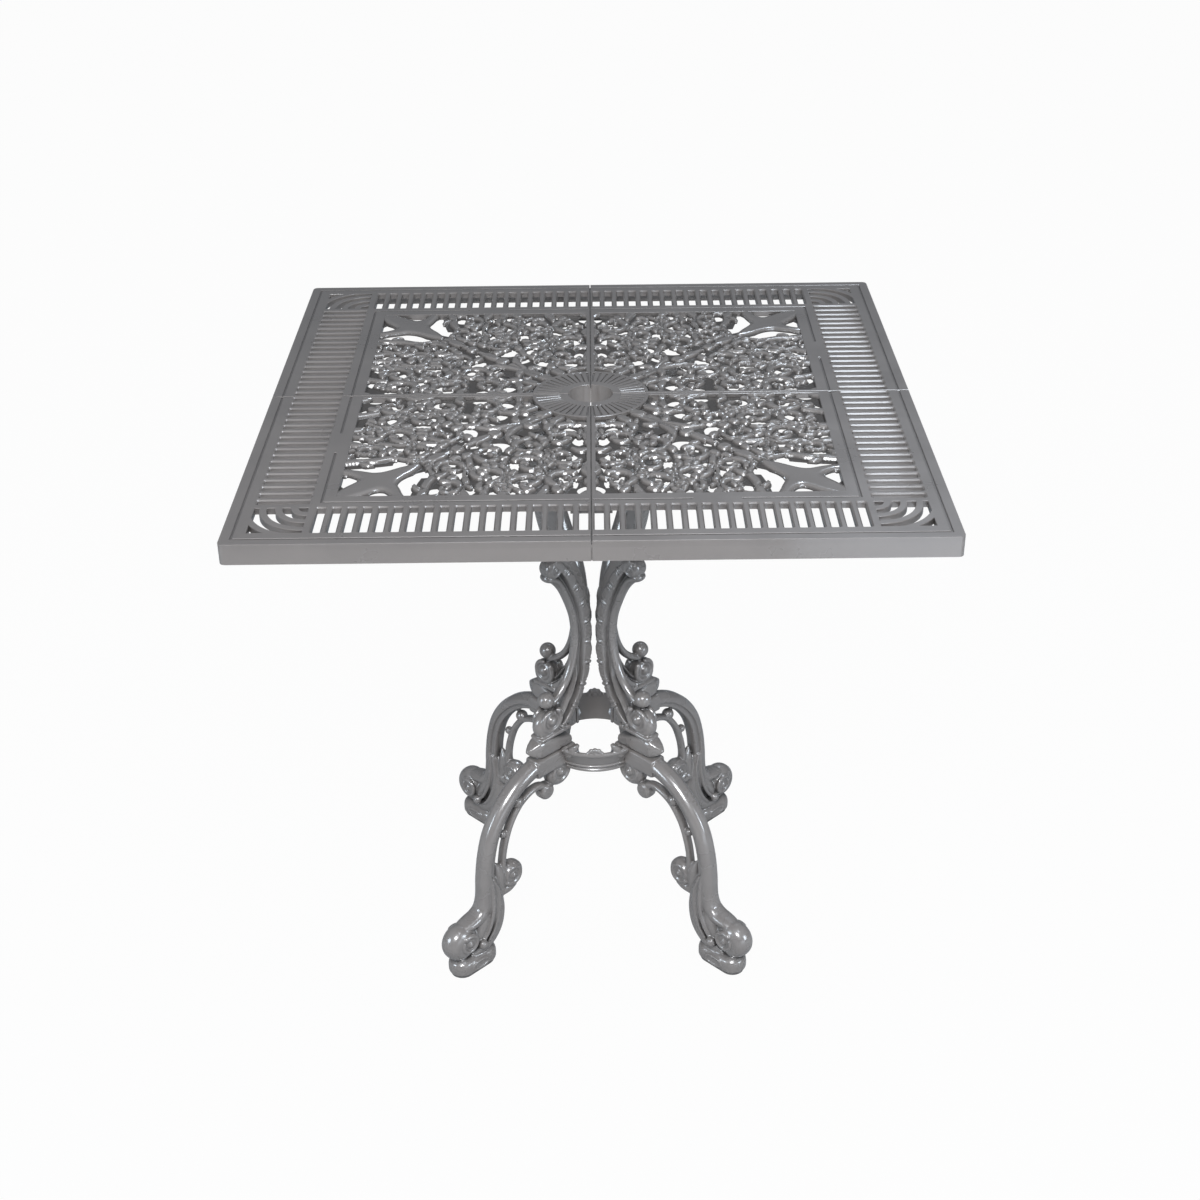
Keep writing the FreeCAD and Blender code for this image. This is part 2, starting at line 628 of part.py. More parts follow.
def make_leg():
    """A lower leg: main rib, inner rail with beads, scrolls, horn, heel leaf, toe scroll and base block."""
    thick = size("leg_thickness")
    lift = size("joint_height") / 263.0
    rib = size("rib_width")
    pieces = [leg_bar([
        (62, 250, 26), (90, 251, 25), (118, 248, rib), (146, 235, rib), (170, 214, rib), (188, 188, rib),
        (198, 156, rib), (202, 122, rib + 1), (203, 96, rib + 2), (210, 78, 19), (225, 72, 14), (242, 78, 8),
    ], thick)]
    pieces.append(leg_bar([
        (192, 118, 20), (187, 92, 22), (186, 66, 22), (193, 42, 22), (209, 26, 20), (232, 20, 14),
    ], thick + 4))
    pieces.append(leg_bar([
        (92, 210, 8), (104, 219, size("rail_width")), (122, 217, size("rail_width")),
        (140, 207, size("rail_width")), (157, 185, size("rail_width")), (167, 160, size("rail_width")),
        (173, 138, size("rail_width")), (172, 118, size("rail_width")),
    ], size("rail_thickness")))
    pieces.append(leg_bar([(176, 132, 12), (182, 108, 16), (168, 96, 14), (160, 96, 10)], thick - 2))
    for r, z, radius, length, soft in (
        (*KNEE, size("knee_roll_radius"), KNEE_LENGTH, 6),
        (*KNEE, 9, KNEE_LENGTH + 4, 3),
        (93, 206, 11, 20, 5),
        (159, 111, size("calf_roll_radius"), 26, 7),
        (159, 111, 8, 30, 3),
        (249, 50, size("toe_roll_radius"), 36, 11),
        (238, 53, 10, 40, 4),
    ):
        pieces.append(roll(leg_reach(r), z * lift, radius, length, soft))
    pieces.append(ball(leg_reach(141), 214 * lift, 9))
    pieces.append(ball(leg_reach(168), 178 * lift, 6))
    head_low = size("joint_height") - size("leg_head_depth")
    head_start = size("leg_head_inner_radius")
    head_length = size("leg_head_outer_radius") - head_start
    head = Part.makeBox(head_length, thick, size("leg_head_depth"), Vector(head_start, -thick / 2, head_low))
    inner_end = [edge for edge in head.Edges if edge.BoundBox.XMax < head_start + 0.1]
    inner_end = [edge for edge in inner_end if edge.CenterOfMass.z < head_low + 1]
    pieces.append(head.makeFillet(9, inner_end))
    pieces.append(make_foot())
    leg = pieces[0].fuse(pieces[1:])
    above = Part.makeBox(half, half, 60, Vector(0, -half / 2, size("joint_height")))
    stud = Vector(size("stud_radius_on_leg"), 0, 0)
    seat = stud_seat()
    socket = Vector(size("dowel_radius_on_leg"), 0, size("joint_height") - size("dowel_length") / 2 - gap)
    ring_bolt = Vector(size("ring_bolt_radius"), -thick, size("ring_bolt_height"))
    below = Part.makeBox(half, half, 60, Vector(0, -half / 2, size("glide_height") - 60))
    leg = leg.cut([
        above,
        below,
        Part.makeCylinder(size("bolt_shank_radius") + gap, size("joint_height"), stud + UP * seat),
        Part.makeCylinder(size("washer_radius") + gap, 10, stud + UP * (seat - 10)),
        Part.makeCylinder(size("dowel_radius") + gap, size("dowel_length"), socket),
        Part.makeCylinder(size("bolt_shank_radius") + gap, thick * 2, ring_bolt, ACROSS),
        Part.makeCylinder(size("screw_shank_radius") + gap, size("screw_bite") + gap,
                          Vector(size("foot_radius"), 0, size("glide_height"))),
    ])
    return leg.removeSplitter()


def stud_seat():
    """The height of the spot face under a leg's head, where the washer and nut of the stud sit."""
    return size("joint_height") - size("stud_seat_depth")


def make_ring_band():
    """One band of the ring: a flared wall between two legs, with a crown, two leaf tips and end tabs."""
    low = size("ring_low_height")
    high = size("ring_high_height")
    wall = size("ring_wall")
    profile = Part.makePolygon([
        Vector(size("ring_low_radius"), 0, low), Vector(size("ring_high_radius"), 0, high),
        Vector(size("ring_high_radius") - wall, 0, high), Vector(size("ring_low_radius") - wall, 0, low),
        Vector(size("ring_low_radius"), 0, low)
    ])
    band = Part.Face(profile).revolve(Vector(), UP, 90)
    mean = size("ring_high_radius") - wall / 2
    pieces = [roll(0, 0, size("crown_radius"), wall + 3, 2)]
    for turn in (-20, 20):
        tip = Part.makeCone(5, 1.2, 13, Vector(), Vector(0.5, 0, 1))
        tip.translate(Vector(mean - 1, 0, high - 6))
        tip.rotate(Vector(), UP, 45 + turn)
        pieces.append(tip)
    pieces[0].rotate(Vector(), UP, 90)
    pieces[0].translate(Vector(mean, 0, high - 1))
    pieces[0].rotate(Vector(), UP, 45)
    clear = size("leg_thickness") / 2
    tab = size("ring_tab_thickness")
    start = size("ring_bolt_radius") - size("washer_radius") - 1
    reach = size("ring_low_radius") - start
    for side in (0, 1):
        plate = Part.makeBox(reach, tab, 24, Vector(start, clear, size("ring_bolt_height") - 12))
        if side:
            plate = plate.mirror(Vector(), ACROSS)
        plate.rotate(Vector(), UP, 90 * side)
        pieces.append(plate)
    band = band.fuse(pieces)
    slabs = []
    for side in (0, 1):
        slab = Part.makeBox(half, clear * 2, top, Vector(0, -clear, 0))
        slab.rotate(Vector(), UP, 90 * side)
        slabs.append(slab)
        bolt_start = Vector(size("ring_bolt_radius"), -30, size("ring_bolt_height"))
        hole = Part.makeCylinder(size("bolt_shank_radius") + gap, 60, bolt_start, ACROSS)
        hole.rotate(Vector(), UP, 90 * side)
        slabs.append(hole)
        knee_start = Vector(KNEE[0], -KNEE_LENGTH / 2 - gap, KNEE[1] * size("joint_height") / 263.0)
        knee = Part.makeCylinder(size("knee_roll_radius") + gap, KNEE_LENGTH + gap * 2, knee_start, ACROSS)
        knee.rotate(Vector(), UP, 90 * side)
        slabs.append(knee)
    return band.cut(slabs).removeSplitter()


# Plain pieces, sized from the sheet by expressions

def bind(part, **links):
    """Ties an object's sizes to the sheet."""
    for name, formula in links.items():
        part.setExpression(name, formula)


def make_tie(name, angle):
    """The tie under one seam, with its four screw holes."""
    plate = document.addObject("Part::Box", f"{name}_plate")
    bind(plate, Length="Sizes.tie_half_width * 2", Width="Sizes.tie_length", Height="Sizes.tie_thickness")
    low = underside - size("tie_thickness")
    tie_start = tie_middle() - size("tie_length") / 2
    plate.Placement = Placement(Vector(-size("tie_half_width"), tie_start, low), Rotation())
    holes = []
    for number, side in enumerate((-1, 1)):
        hole = document.addObject("Part::Cylinder", f"{name}_hole_{number}")
        bind(hole, Radius="Sizes.screw_shank_radius + Sizes.clearance", Height="Sizes.tie_thickness")
        hole.Placement = Placement(Vector(side * size("tie_screw_offset"), tie_middle(), low), Rotation())
        holes.append(hole)
    both = document.addObject("Part::MultiFuse", f"{name}_holes")
    both.Shapes = holes
    tie = document.addObject("Part::Cut", name)
    tie.Base = plate
    tie.Tool = both
    tie.Label = name
    tie.Placement = Placement(Vector(), Rotation(UP, angle))
    parts.append(tie)


def make_glide(name, angle):
    """The glide under one base block: a round-ended pad with its screw hole."""
    body = document.addObject("PartDesign::Body", name)
    body.Label = name
    planes = {feature.Role: feature for feature in body.Origin.OriginFeatures}
    sketch = body.newObject("Sketcher::SketchObject", f"{name}_outline")
    sketch.AttachmentSupport = [(planes["XY_Plane"], "")]
    sketch.MapMode = "FlatFace"
    deep = size("foot_width") / 2 - size("glide_inset")
    reach = size("foot_length") / 2 - size("glide_inset") - deep
    sketch.addGeometry(Part.LineSegment(Vector(-reach, deep, 0), Vector(reach, deep, 0)), False)
    sketch.addGeometry(Part.LineSegment(Vector(reach, -deep, 0), Vector(-reach, -deep, 0)), False)
    for way in (1, -1):
        start = Vector(way * reach, -way * deep, 0)
        end = Vector(way * reach, way * deep, 0)
        sketch.addGeometry(Part.Arc(start, Vector(way * (reach + deep), 0, 0), end), False)
    hole_radius = size("screw_shank_radius") + gap
    sketch.addGeometry(Part.Circle(Vector(), UP, hole_radius), False)
    pad = body.newObject("PartDesign::Pad", f"{name}_pad")
    pad.Profile = sketch
    bind(pad, Length="Sizes.glide_height")
    document.recompute()
    counterbore = body.newObject("Sketcher::SketchObject", f"{name}_recess")
    counterbore.AttachmentSupport = [(planes["XY_Plane"], "")]
    counterbore.MapMode = "FlatFace"
    counterbore.addGeometry(Part.Circle(Vector(), UP, size("screw_head_radius") + gap), False)
    pocket = body.newObject("PartDesign::Pocket", f"{name}_pocket")
    pocket.Profile = counterbore
    pocket.Reversed = True
    bind(pocket, Length="Sizes.screw_head_height + Sizes.clearance")
    way = math.radians(angle)
    place = Vector(size("foot_radius") * math.cos(way), size("foot_radius") * math.sin(way), 0)
    body.Placement = Placement(place, Rotation(UP, angle))
    parts.append(body)


def make_revolved(name, outline):
    """A turned piece about its own Z axis, from (radius, height) points of half its section."""
    body = document.addObject("PartDesign::Body", name)
    planes = {feature.Role: feature for feature in body.Origin.OriginFeatures}
    sketch = body.newObject("Sketcher::SketchObject", f"{name}_section")
    sketch.AttachmentSupport = [(planes["XZ_Plane"], "")]
    sketch.MapMode = "FlatFace"
    points = [Vector(radius, height, 0) for radius, height in outline]
    for first, second in zip(points, points[1:] + points[:1]):
        sketch.addGeometry(Part.LineSegment(first, second), False)
    turned = body.newObject("PartDesign::Revolution", f"{name}_turned")
    turned.Profile = sketch
    turned.ReferenceAxis = (sketch, ["V_Axis"])
    turned.Angle = 360
    document.recompute()
    return body.Shape.copy()


def screw_shape(grip):
    """A pan-head screw whose head lies below z = 0 and whose shank goes up."""
    shank = size("screw_shank_radius")
    head = size("screw_head_radius")
    tall = size("screw_head_height")
    length = grip + size("screw_bite")
    return make_revolved(f"screw_{round(grip * 10)}", [
        (0, -tall), (head * 0.6, -tall), (head, -tall * 0.5), (head, 0), (shank, 0), (shank, length - 1),
        (shank * 0.4, length), (0, length)
    ])


def hexagon(width, height, hole):
    """A hexagonal prism across flats, with a round hole where hole is not 0."""
    radius = width / math.sqrt(3)
    corners = [Vector(radius, 0, 0)]
    for number in range(1, 7):
        angle = math.radians(60 * number)
        corners.append(Vector(radius * math.cos(angle), radius * math.sin(angle), 0))
    prism = Part.Face(Part.makePolygon(corners)).extrude(Vector(0, 0, height))
    if hole:
        prism = prism.cut(Part.makeCylinder(hole, height))
    return prism


def on_each_leg(shape, offset=LEG_ANGLE):
    """Copies of a solid, turned to the four legs."""
    copies = []
    for angle in QUARTERS.values():
        copy = shape.copy()
        copy.rotate(Vector(), UP, angle + offset)
        copies.append(copy)
    return copies


def keep_group(label, solids):
    """Adds like solids as one group, each solid separate."""
    keep(label, Part.makeCompound(solids))


def make_fasteners():
    """Screws, bolts, dowels, washers and nuts, each kind as one group."""
    pad_screw = screw_shape(size("pad_thickness"))
    pad_screws = []
    for along in pad_screw_places():
        screw = pad_screw.copy()
        screw.translate(Vector(along, 0, underside - size("pad_thickness")))
        pad_screws += on_each_leg(screw)
    keep_group("bracket_pad_screws", pad_screws)
    tie_screw = screw_shape(size("tie_thickness"))
    tie_screws = []
    for side in (-1, 1):
        screw = tie_screw.copy()
        below_tie = underside - size("tie_thickness")
        screw.translate(Vector(side * size("tie_screw_offset"), tie_middle(), below_tie))
        tie_screws += on_each_leg(screw, 0)
    keep_group("seam_tie_screws", tie_screws)
    glide_recess = size("screw_head_height") + gap
    glide_screw = screw_shape(size("glide_height") - glide_recess)
    glide_screw.translate(Vector(size("foot_radius"), 0, glide_recess))
    keep_group("glide_screws", on_each_leg(glide_screw))
    make_studs()
    dowel = Part.makeCylinder(size("dowel_radius"), size("dowel_length"))
    dowel = dowel.makeChamfer(0.6, [edge for edge in dowel.Edges if edge.Closed])
    dowel.translate(Vector(size("dowel_radius_on_leg"), 0, size("joint_height") - size("dowel_length") / 2))
    keep_group("leg_dowels", on_each_leg(dowel))
    make_ring_fasteners()


def make_studs():
    """The stud between each leg and its bracket, with a washer and a nut under the leg's head."""
    radius = size("bolt_shank_radius")
    place = Vector(size("stud_radius_on_leg"), 0, stud_seat())
    below = size("washer_thickness") + size("nut_height") + 1.5
    above = size("stud_seat_depth") + size("stud_bite")
    stud = Part.makeCylinder(radius, below + above, place - UP * below)
    stud = stud.makeChamfer(0.6, [edge for edge in stud.Edges if edge.Closed])
    keep_group("flange_studs", on_each_leg(stud))
    nut = hexagon(size("nut_width"), size("nut_height"), radius + gap)
    nut.translate(place - UP * (size("washer_thickness") + size("nut_height")))
    keep_group("flange_nuts", on_each_leg(nut))
    washer = Part.makeCylinder(size("washer_radius"), size("washer_thickness"))
    washer = washer.cut(Part.makeCylinder(radius + gap, size("washer_thickness")))
    washer.translate(place - UP * size("washer_thickness"))
    keep_group("flange_washers", on_each_leg(washer))


def make_ring_fasteners():
    """The through-bolts of the ring, with a washer under each head and nut."""
    reach = size("leg_thickness") / 2 + size("ring_tab_thickness")
    thin = size("washer_thickness")
    grip = 2 * (reach + thin)
    middle = Vector(size("ring_bolt_radius"), 0, size("ring_bolt_height"))
    lay_down = Placement(middle, Rotation(Vector(1, 0, 0), -90))
    shank_length = grip + size("nut_height") + 1
    shank = Part.makeCylinder(size("bolt_shank_radius"), shank_length, Vector(0, 0, -grip / 2))
    head = hexagon(size("nut_width"), size("bolt_head_height"), 0)
    head.translate(Vector(0, 0, -grip / 2 - size("bolt_head_height")))
    bolt = shank.fuse(head).removeSplitter()
    hole = size("bolt_shank_radius") + gap
    nut = hexagon(size("nut_width"), size("nut_height"), hole).translated(Vector(0, 0, grip / 2))
    disc_shape = Part.makeCylinder(size("washer_radius"), thin).cut(Part.makeCylinder(hole, thin))
    washers = [disc_shape.translated(Vector(0, 0, level)) for level in (reach, -reach - thin)]
    groups = {"ring_bolts": [bolt], "ring_nuts": [nut], "ring_washers": washers}
    for label, solids in groups.items():
        turned = []
        for solid in solids:
            copy = solid.copy()
            copy.Placement = lay_down.multiply(copy.Placement)
            turned += on_each_leg(copy)
        keep_group(label, turned)


panel_shape = make_panel()
bracket_shape = make_bracket()
leg_shape = make_leg()
band_shape = make_ring_band()
SIDES = {"right": -45, "back": 45, "left": 135, "front": 225}
for quarter, turn in QUARTERS.items():
    keep(f"top_panel_{quarter}", panel_shape, turn)
    keep(f"upper_bracket_{quarter}", bracket_shape, turn + LEG_ANGLE)
    keep(f"lower_leg_{quarter}", leg_shape, turn + LEG_ANGLE)
    make_glide(f"glide_{quarter}", turn + LEG_ANGLE)
for side, turn in SIDES.items():
    keep(f"ring_band_{side}", band_shape, turn)
    make_tie(f"seam_tie_{side}", turn - 45)
make_fasteners()
document.recompute()

for item in document.Objects:
    if {"Invalid", "Error"} & set(item.State):
        raise RuntimeError(f"{item.Label} failed: {item.State}")
os.makedirs("parts", exist_ok=True)
for part in parts:
    if part.Shape.isNull() or not part.Shape.isValid():
        raise RuntimeError(f"{part.Label} has no valid shape")
for part in parts:
    solids = len(part.Shape.Solids)
    print(part.Label, "solids", solids, "faces", len(part.Shape.Faces), "volume", round(part.Shape.Volume))
    part.Shape.exportStep(f"parts/{part.Label}.step")
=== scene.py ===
# %% [markdown]
# # Umbrella table
# A square side table in satin grey plastic, made to look like cast iron: four top
# panels with slots and a pierced scroll lattice, a hole for an umbrella pole, four
# upper brackets, four scrolled legs and a ring between them.
# This lesson dresses the imported solids. It first loads them as a fixed frame, then
# builds each ornamented piece as a mesh of its own that stands for its solid.

# %% Load the imported solids and bake their placement into their meshes
import math
import bpy
import numpy as np
from mathutils import Matrix, Vector
from mathutils.geometry import delaunay_2d_cdt


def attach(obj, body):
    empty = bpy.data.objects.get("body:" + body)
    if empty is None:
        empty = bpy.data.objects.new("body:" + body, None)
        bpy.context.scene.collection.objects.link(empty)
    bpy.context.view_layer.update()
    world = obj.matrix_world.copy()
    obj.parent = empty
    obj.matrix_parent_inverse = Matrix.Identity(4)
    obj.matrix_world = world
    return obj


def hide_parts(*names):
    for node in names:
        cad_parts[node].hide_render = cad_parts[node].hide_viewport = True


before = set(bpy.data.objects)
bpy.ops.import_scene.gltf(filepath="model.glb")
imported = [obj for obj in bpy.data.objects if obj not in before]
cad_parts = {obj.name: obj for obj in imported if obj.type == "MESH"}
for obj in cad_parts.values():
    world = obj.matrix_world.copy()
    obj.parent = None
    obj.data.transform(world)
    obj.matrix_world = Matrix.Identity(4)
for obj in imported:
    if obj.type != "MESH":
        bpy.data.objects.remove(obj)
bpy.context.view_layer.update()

# %% [markdown]
# All the drawing is in millimetres, because the ornament is easier to read that
# way, and each mesh is scaled to metres when it is made.
# The four quarters of the table are one quarter turned by 90 degrees, so every
# ornamented mesh is made once and placed four times. Each panel stops SEAM short of
# the seam's plane, and a tongue lower down closes the seam, which shows as a line.

# %% Sizes of the table, in millimetres
MM = 0.001
HALF = 375.0
CORNER = 6.0
SEAM = 0.6
SEAM_DEPTH = 1.6
TONGUE = 0.02
TOP = 730.0
UNDERSIDE = 722.5
RIM_DEPTH = 23.0
RIM_WALL = 3.5
WINDOW = 267.5
SEAM_BAR = 5.0
ROSETTE = 68.5
POLE_HOLE = 26.25
POLE_WALL = 3.8
JOINT = 263.0
FOOT = 229
FOOT_LENGTH = 70.0
FOOT_WIDTH = 36.0
GLIDE_HEIGHT = 4.0
PANEL_TURNS = {"back_right": 0, "back_left": 90, "front_left": 180, "front_right": 270}
BAND_TURNS = {"right": -45, "back": 45, "left": 135, "front": 225}
print("quarters:", list(PANEL_TURNS))

# %% [markdown]
# Two small helpers make and place meshes. The first turns arrays of points and faces
# into a Blender mesh with smooth shading that breaks at sharp edges. The second places a
# shared mesh at a turn about the table's axis, lets it ride on the table's one
# body and hides the solid it stands for.


# %% Mesh from arrays, and a piece from a mesh
SHARP_ANGLE = 38.0


def make_mesh(name, points, faces):
    mesh = bpy.data.meshes.new(name)
    mesh.from_pydata((np.asarray(points, dtype=float) * MM).tolist(), [], faces)
    mesh.update()
    mesh.polygons.foreach_set("use_smooth", [True] * len(mesh.polygons))
    mesh.set_sharp_from_angle(angle=math.radians(SHARP_ANGLE))
    print(name, "faces:", len(mesh.polygons))
    return mesh


def place(mesh, name, turn, material, node):
    piece = bpy.data.objects.new(name, mesh)
    bpy.context.scene.collection.objects.link(piece)
    piece.matrix_world = Matrix.Rotation(math.radians(turn), 4, "Z")
    if material.name not in mesh.materials:
        mesh.materials.append(material)
    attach(piece, "root")
    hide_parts(node)


print("meshes break their shading at", SHARP_ANGLE, "degrees")

# %% [markdown]
# ## Finish
# The real table is moulded in one warm grey plastic. Its skin is satin: broad soft
# highlights, a very fine orange-peel, a duller surface with painted shade in the
# recesses, and a paler tone on edges that hands and cloths rub.
# Both effects are node groups, so that each material can use them with its own values.

# %% Small helpers for node trees
def new_group(name, inputs, outputs):
    group = bpy.data.node_groups.new(name, "ShaderNodeTree")
    for title, value in inputs.items():
        socket = group.interface.new_socket(title, in_out="INPUT", socket_type="NodeSocketFloat")
        socket.default_value = value
    for title, kind in outputs.items():
        group.interface.new_socket(title, in_out="OUTPUT", socket_type=kind)
    start = group.nodes.new("NodeGroupInput")
    end = group.nodes.new("NodeGroupOutput")
    return group, start, end


def math_node(tree, operation, first, second=None, clamp=False):
    node = tree.nodes.new("ShaderNodeMath")
    node.operation = operation
    node.use_clamp = clamp
    for socket, value in zip(node.inputs, (first, second)):
        if value is None:
            continue
        if isinstance(value, (int, float)):
            socket.default_value = value
        else:
            tree.links.new(value, socket)
    return node.outputs[0]


def ramp(tree, value, low, high, bottom=0.0, top=1.0):
    """A mask that goes from bottom to top while the value goes from low to high."""
    node = tree.nodes.new("ShaderNodeMapRange")
    for title, number in (("From Min", low), ("From Max", high), ("To Min", bottom), ("To Max", top)):
        node.inputs[title].default_value = number
    tree.links.new(value, node.inputs["Value"])
    return node.outputs[0]


def mix_colour(tree, share, first, second):
    node = tree.nodes.new("ShaderNodeMix")
    node.data_type = "RGBA"
    tree.links.new(share, node.inputs[0])
    for socket, value in ((node.inputs[6], first), (node.inputs[7], second)):
        if isinstance(value, tuple):
            socket.default_value = (*value, 1.0)
        else:
            tree.links.new(value, socket)
    return node.outputs[2]


print("node helpers ready")

# %% Node group: fine moulded skin
skin, skin_in, skin_out = new_group(
    "moulded_skin", {"Peel size": 900.0, "Peel depth": 1.0, "Mottle size": 14.0},
    {"Height": "NodeSocketFloat", "Mottle": "NodeSocketFloat"})
place_node = skin.nodes.new("ShaderNodeTexCoord")
peel = skin.nodes.new("ShaderNodeTexNoise")
peel.inputs["Detail"].default_value = 3.0
skin.links.new(place_node.outputs["Object"], peel.inputs["Vector"])
skin.links.new(skin_in.outputs["Peel size"], peel.inputs["Scale"])
mottle = skin.nodes.new("ShaderNodeTexNoise")
mottle.inputs["Detail"].default_value = 4.0
mottle.inputs["Roughness"].default_value = 0.6
skin.links.new(place_node.outputs["Object"], mottle.inputs["Vector"])
skin.links.new(skin_in.outputs["Mottle size"], mottle.inputs["Scale"])
height = math_node(skin, "MULTIPLY", peel.outputs[0], skin_in.outputs["Peel depth"])
skin.links.new(height, skin_out.inputs["Height"])
skin.links.new(mottle.outputs[0], skin_out.inputs["Mottle"])
print("group:", skin.name)

# %% Node group: painted shade in recesses, and a paler tone on worn edges
shade_and_wear, shade_and_wear_in, shade_and_wear_out = new_group(
    "recess_shade_and_edge_wear", {"Recess": 1.0, "Edge": 1.0, "Reach": 0.012},
    {"Recess shade mask": "NodeSocketFloat", "Edge mask": "NodeSocketFloat"})
shape = shade_and_wear.nodes.new("ShaderNodeNewGeometry")
# Painted shade: ambient occlusion and low pointiness make the mask that darkens recesses.
hollow = shade_and_wear.nodes.new("ShaderNodeAmbientOcclusion")
hollow.samples = 6
hollow.only_local = True
shade_and_wear.links.new(shade_and_wear_in.outputs["Reach"], hollow.inputs["Distance"])
closed = ramp(shade_and_wear, hollow.outputs["AO"], 0.88, 0.35)
sunk = ramp(shade_and_wear, shape.outputs["Pointiness"], 0.50, 0.40)
raised = ramp(shade_and_wear, shape.outputs["Pointiness"], 0.52, 0.64)
both = math_node(shade_and_wear, "MAXIMUM", sunk, closed)
recess = math_node(shade_and_wear, "MULTIPLY", both, shade_and_wear_in.outputs["Recess"], clamp=True)
edge = math_node(shade_and_wear, "MULTIPLY", raised, shade_and_wear_in.outputs["Edge"], clamp=True)
shade_and_wear.links.new(recess, shade_and_wear_out.inputs["Recess shade mask"])
shade_and_wear.links.new(edge, shade_and_wear_out.inputs["Edge mask"])
print("group:", shade_and_wear.name)

# %% [markdown]
# One function makes a finish from the groups. The body colour is mottled a little,
# darkened in recesses with painted shade and lightened on edges; roughness rises in
# the recesses; and the fine skin goes through a Bump node. What is the same all over
# the surface, such as the metal, is set on the shader's own socket. The lattice's finish
# also gets painted shade: darker and duller with depth, as little light comes back out of its valleys.

# %% How a finish is made
RECESS_SHADE_TONE = 0.22
SUNK_SHADE_TONE = 0.20
SUNK_SHARE = 0.85
RECESS_ROUGHNESS = 0.25
MOTTLE_ROUGHNESS = 0.06
COAT_ROUGHNESS = 0.09
BUMP_STRENGTH = 0.10
BUMP_HEIGHT = 0.0004


def make_finish(name, light, dark, recess, edge, rough,
                coat=0.0, metal=0.0, gloss=0.5, peel_size=900.0, reach=0.012, sunk_from=None):
    material = bpy.data.materials.new(name)
    material.use_nodes = True
    tree = material.node_tree
    shader = tree.nodes["Principled BSDF"]
    skin_node = tree.nodes.new("ShaderNodeGroup")
    skin_node.node_tree = skin
    skin_node.inputs["Peel size"].default_value = peel_size
    shade_and_wear_node = tree.nodes.new("ShaderNodeGroup")
    shade_and_wear_node.node_tree = shade_and_wear
    shade_and_wear_node.inputs["Recess"].default_value = recess
    shade_and_wear_node.inputs["Edge"].default_value = edge
    shade_and_wear_node.inputs["Reach"].default_value = reach
    spread = ramp(tree, skin_node.outputs["Mottle"], 0.35, 0.65)
    colour = mix_colour(tree, spread, dark, light)
    # Painted shade: the recess mask mixes the colour towards a dark copy of the body tone.
    shade = tuple(RECESS_SHADE_TONE * value for value in dark)
    pale = tuple(min(1.25 * value + 0.01, 1.0) for value in light)
    colour = mix_colour(tree, shade_and_wear_node.outputs["Recess shade mask"], colour, shade)
    colour = mix_colour(tree, shade_and_wear_node.outputs["Edge mask"], colour, pale)
    # Painted shade on the lattice: lower points get a darker colour and less coat and specular.
    if sunk_from:
        where = tree.nodes.new("ShaderNodeTexCoord")
        axes = tree.nodes.new("ShaderNodeSeparateXYZ")
        tree.links.new(where.outputs["Object"], axes.inputs[0])
        deep = ramp(tree, axes.outputs[2], *sunk_from, top=SUNK_SHARE)
        colour = mix_colour(tree, deep, colour, tuple(SUNK_SHADE_TONE * value for value in dark))
        kept = math_node(tree, "SUBTRACT", 1.0, deep)
        tree.links.new(math_node(tree, "MULTIPLY", kept, coat), shader.inputs["Coat Weight"])
        tree.links.new(math_node(tree, "MULTIPLY", kept, gloss), shader.inputs["Specular IOR Level"])
    tree.links.new(colour, shader.inputs["Base Color"])
    rougher = math_node(tree, "MULTIPLY", shade_and_wear_node.outputs["Recess shade mask"], RECESS_ROUGHNESS)
    mottled = math_node(tree, "MULTIPLY", spread, MOTTLE_ROUGHNESS)
    total = math_node(tree, "ADD", rougher, mottled)
    tree.links.new(math_node(tree, "ADD", total, rough), shader.inputs["Roughness"])
    bumps = tree.nodes.new("ShaderNodeBump")
    bumps.inputs["Strength"].default_value = BUMP_STRENGTH
    bumps.inputs["Distance"].default_value = BUMP_HEIGHT
    tree.links.new(skin_node.outputs["Height"], bumps.inputs["Height"])
    tree.links.new(bumps.outputs[0], shader.inputs["Normal"])
    shader.inputs["Metallic"].default_value = metal
    shader.inputs["Coat Weight"].default_value = coat
    shader.inputs["Coat Roughness"].default_value = COAT_ROUGHNESS
    shader.inputs["Specular IOR Level"].default_value = gloss
    return material


print("finishes darken recesses to", RECESS_SHADE_TONE, "of their own tone")

# %% The five finishes of the table
table_grey = make_finish(
    "table_grey", (0.168, 0.152, 0.141), (0.150, 0.136, 0.127), 0.9, 0.35, 0.27, coat=0.8, gloss=0.9)
# Brackets, legs and ring are the top's plastic in a lighter copy of its grey: painted light that brightens
# them in the shade under the top.
leg_grey_lightened = make_finish(
    "leg_grey_lightened", (0.205, 0.188, 0.177), (0.184, 0.169, 0.159), 1.0, 0.45, 0.25,
    coat=0.8, gloss=0.9, reach=0.016)
lattice_grey = make_finish(
    "lattice_grey", (0.176, 0.160, 0.149), (0.158, 0.144, 0.134), 0.9, 0.5, 0.22,
    coat=0.8, gloss=0.9, reach=0.005, sunk_from=(0.7285, 0.7250))
foot_grey = make_finish("foot_grey", (0.12, 0.115, 0.11), (0.10, 0.096, 0.092), 0.5, 0.2, 0.62)
zinc = make_finish(
    "zinc", (0.60, 0.60, 0.61), (0.50, 0.50, 0.52), 0.6, 0.4, 0.34, metal=1.0, peel_size=2500.0)
print("finishes:", [finish.name for finish in (table_grey, leg_grey_lightened, lattice_grey, foot_grey, zinc)])

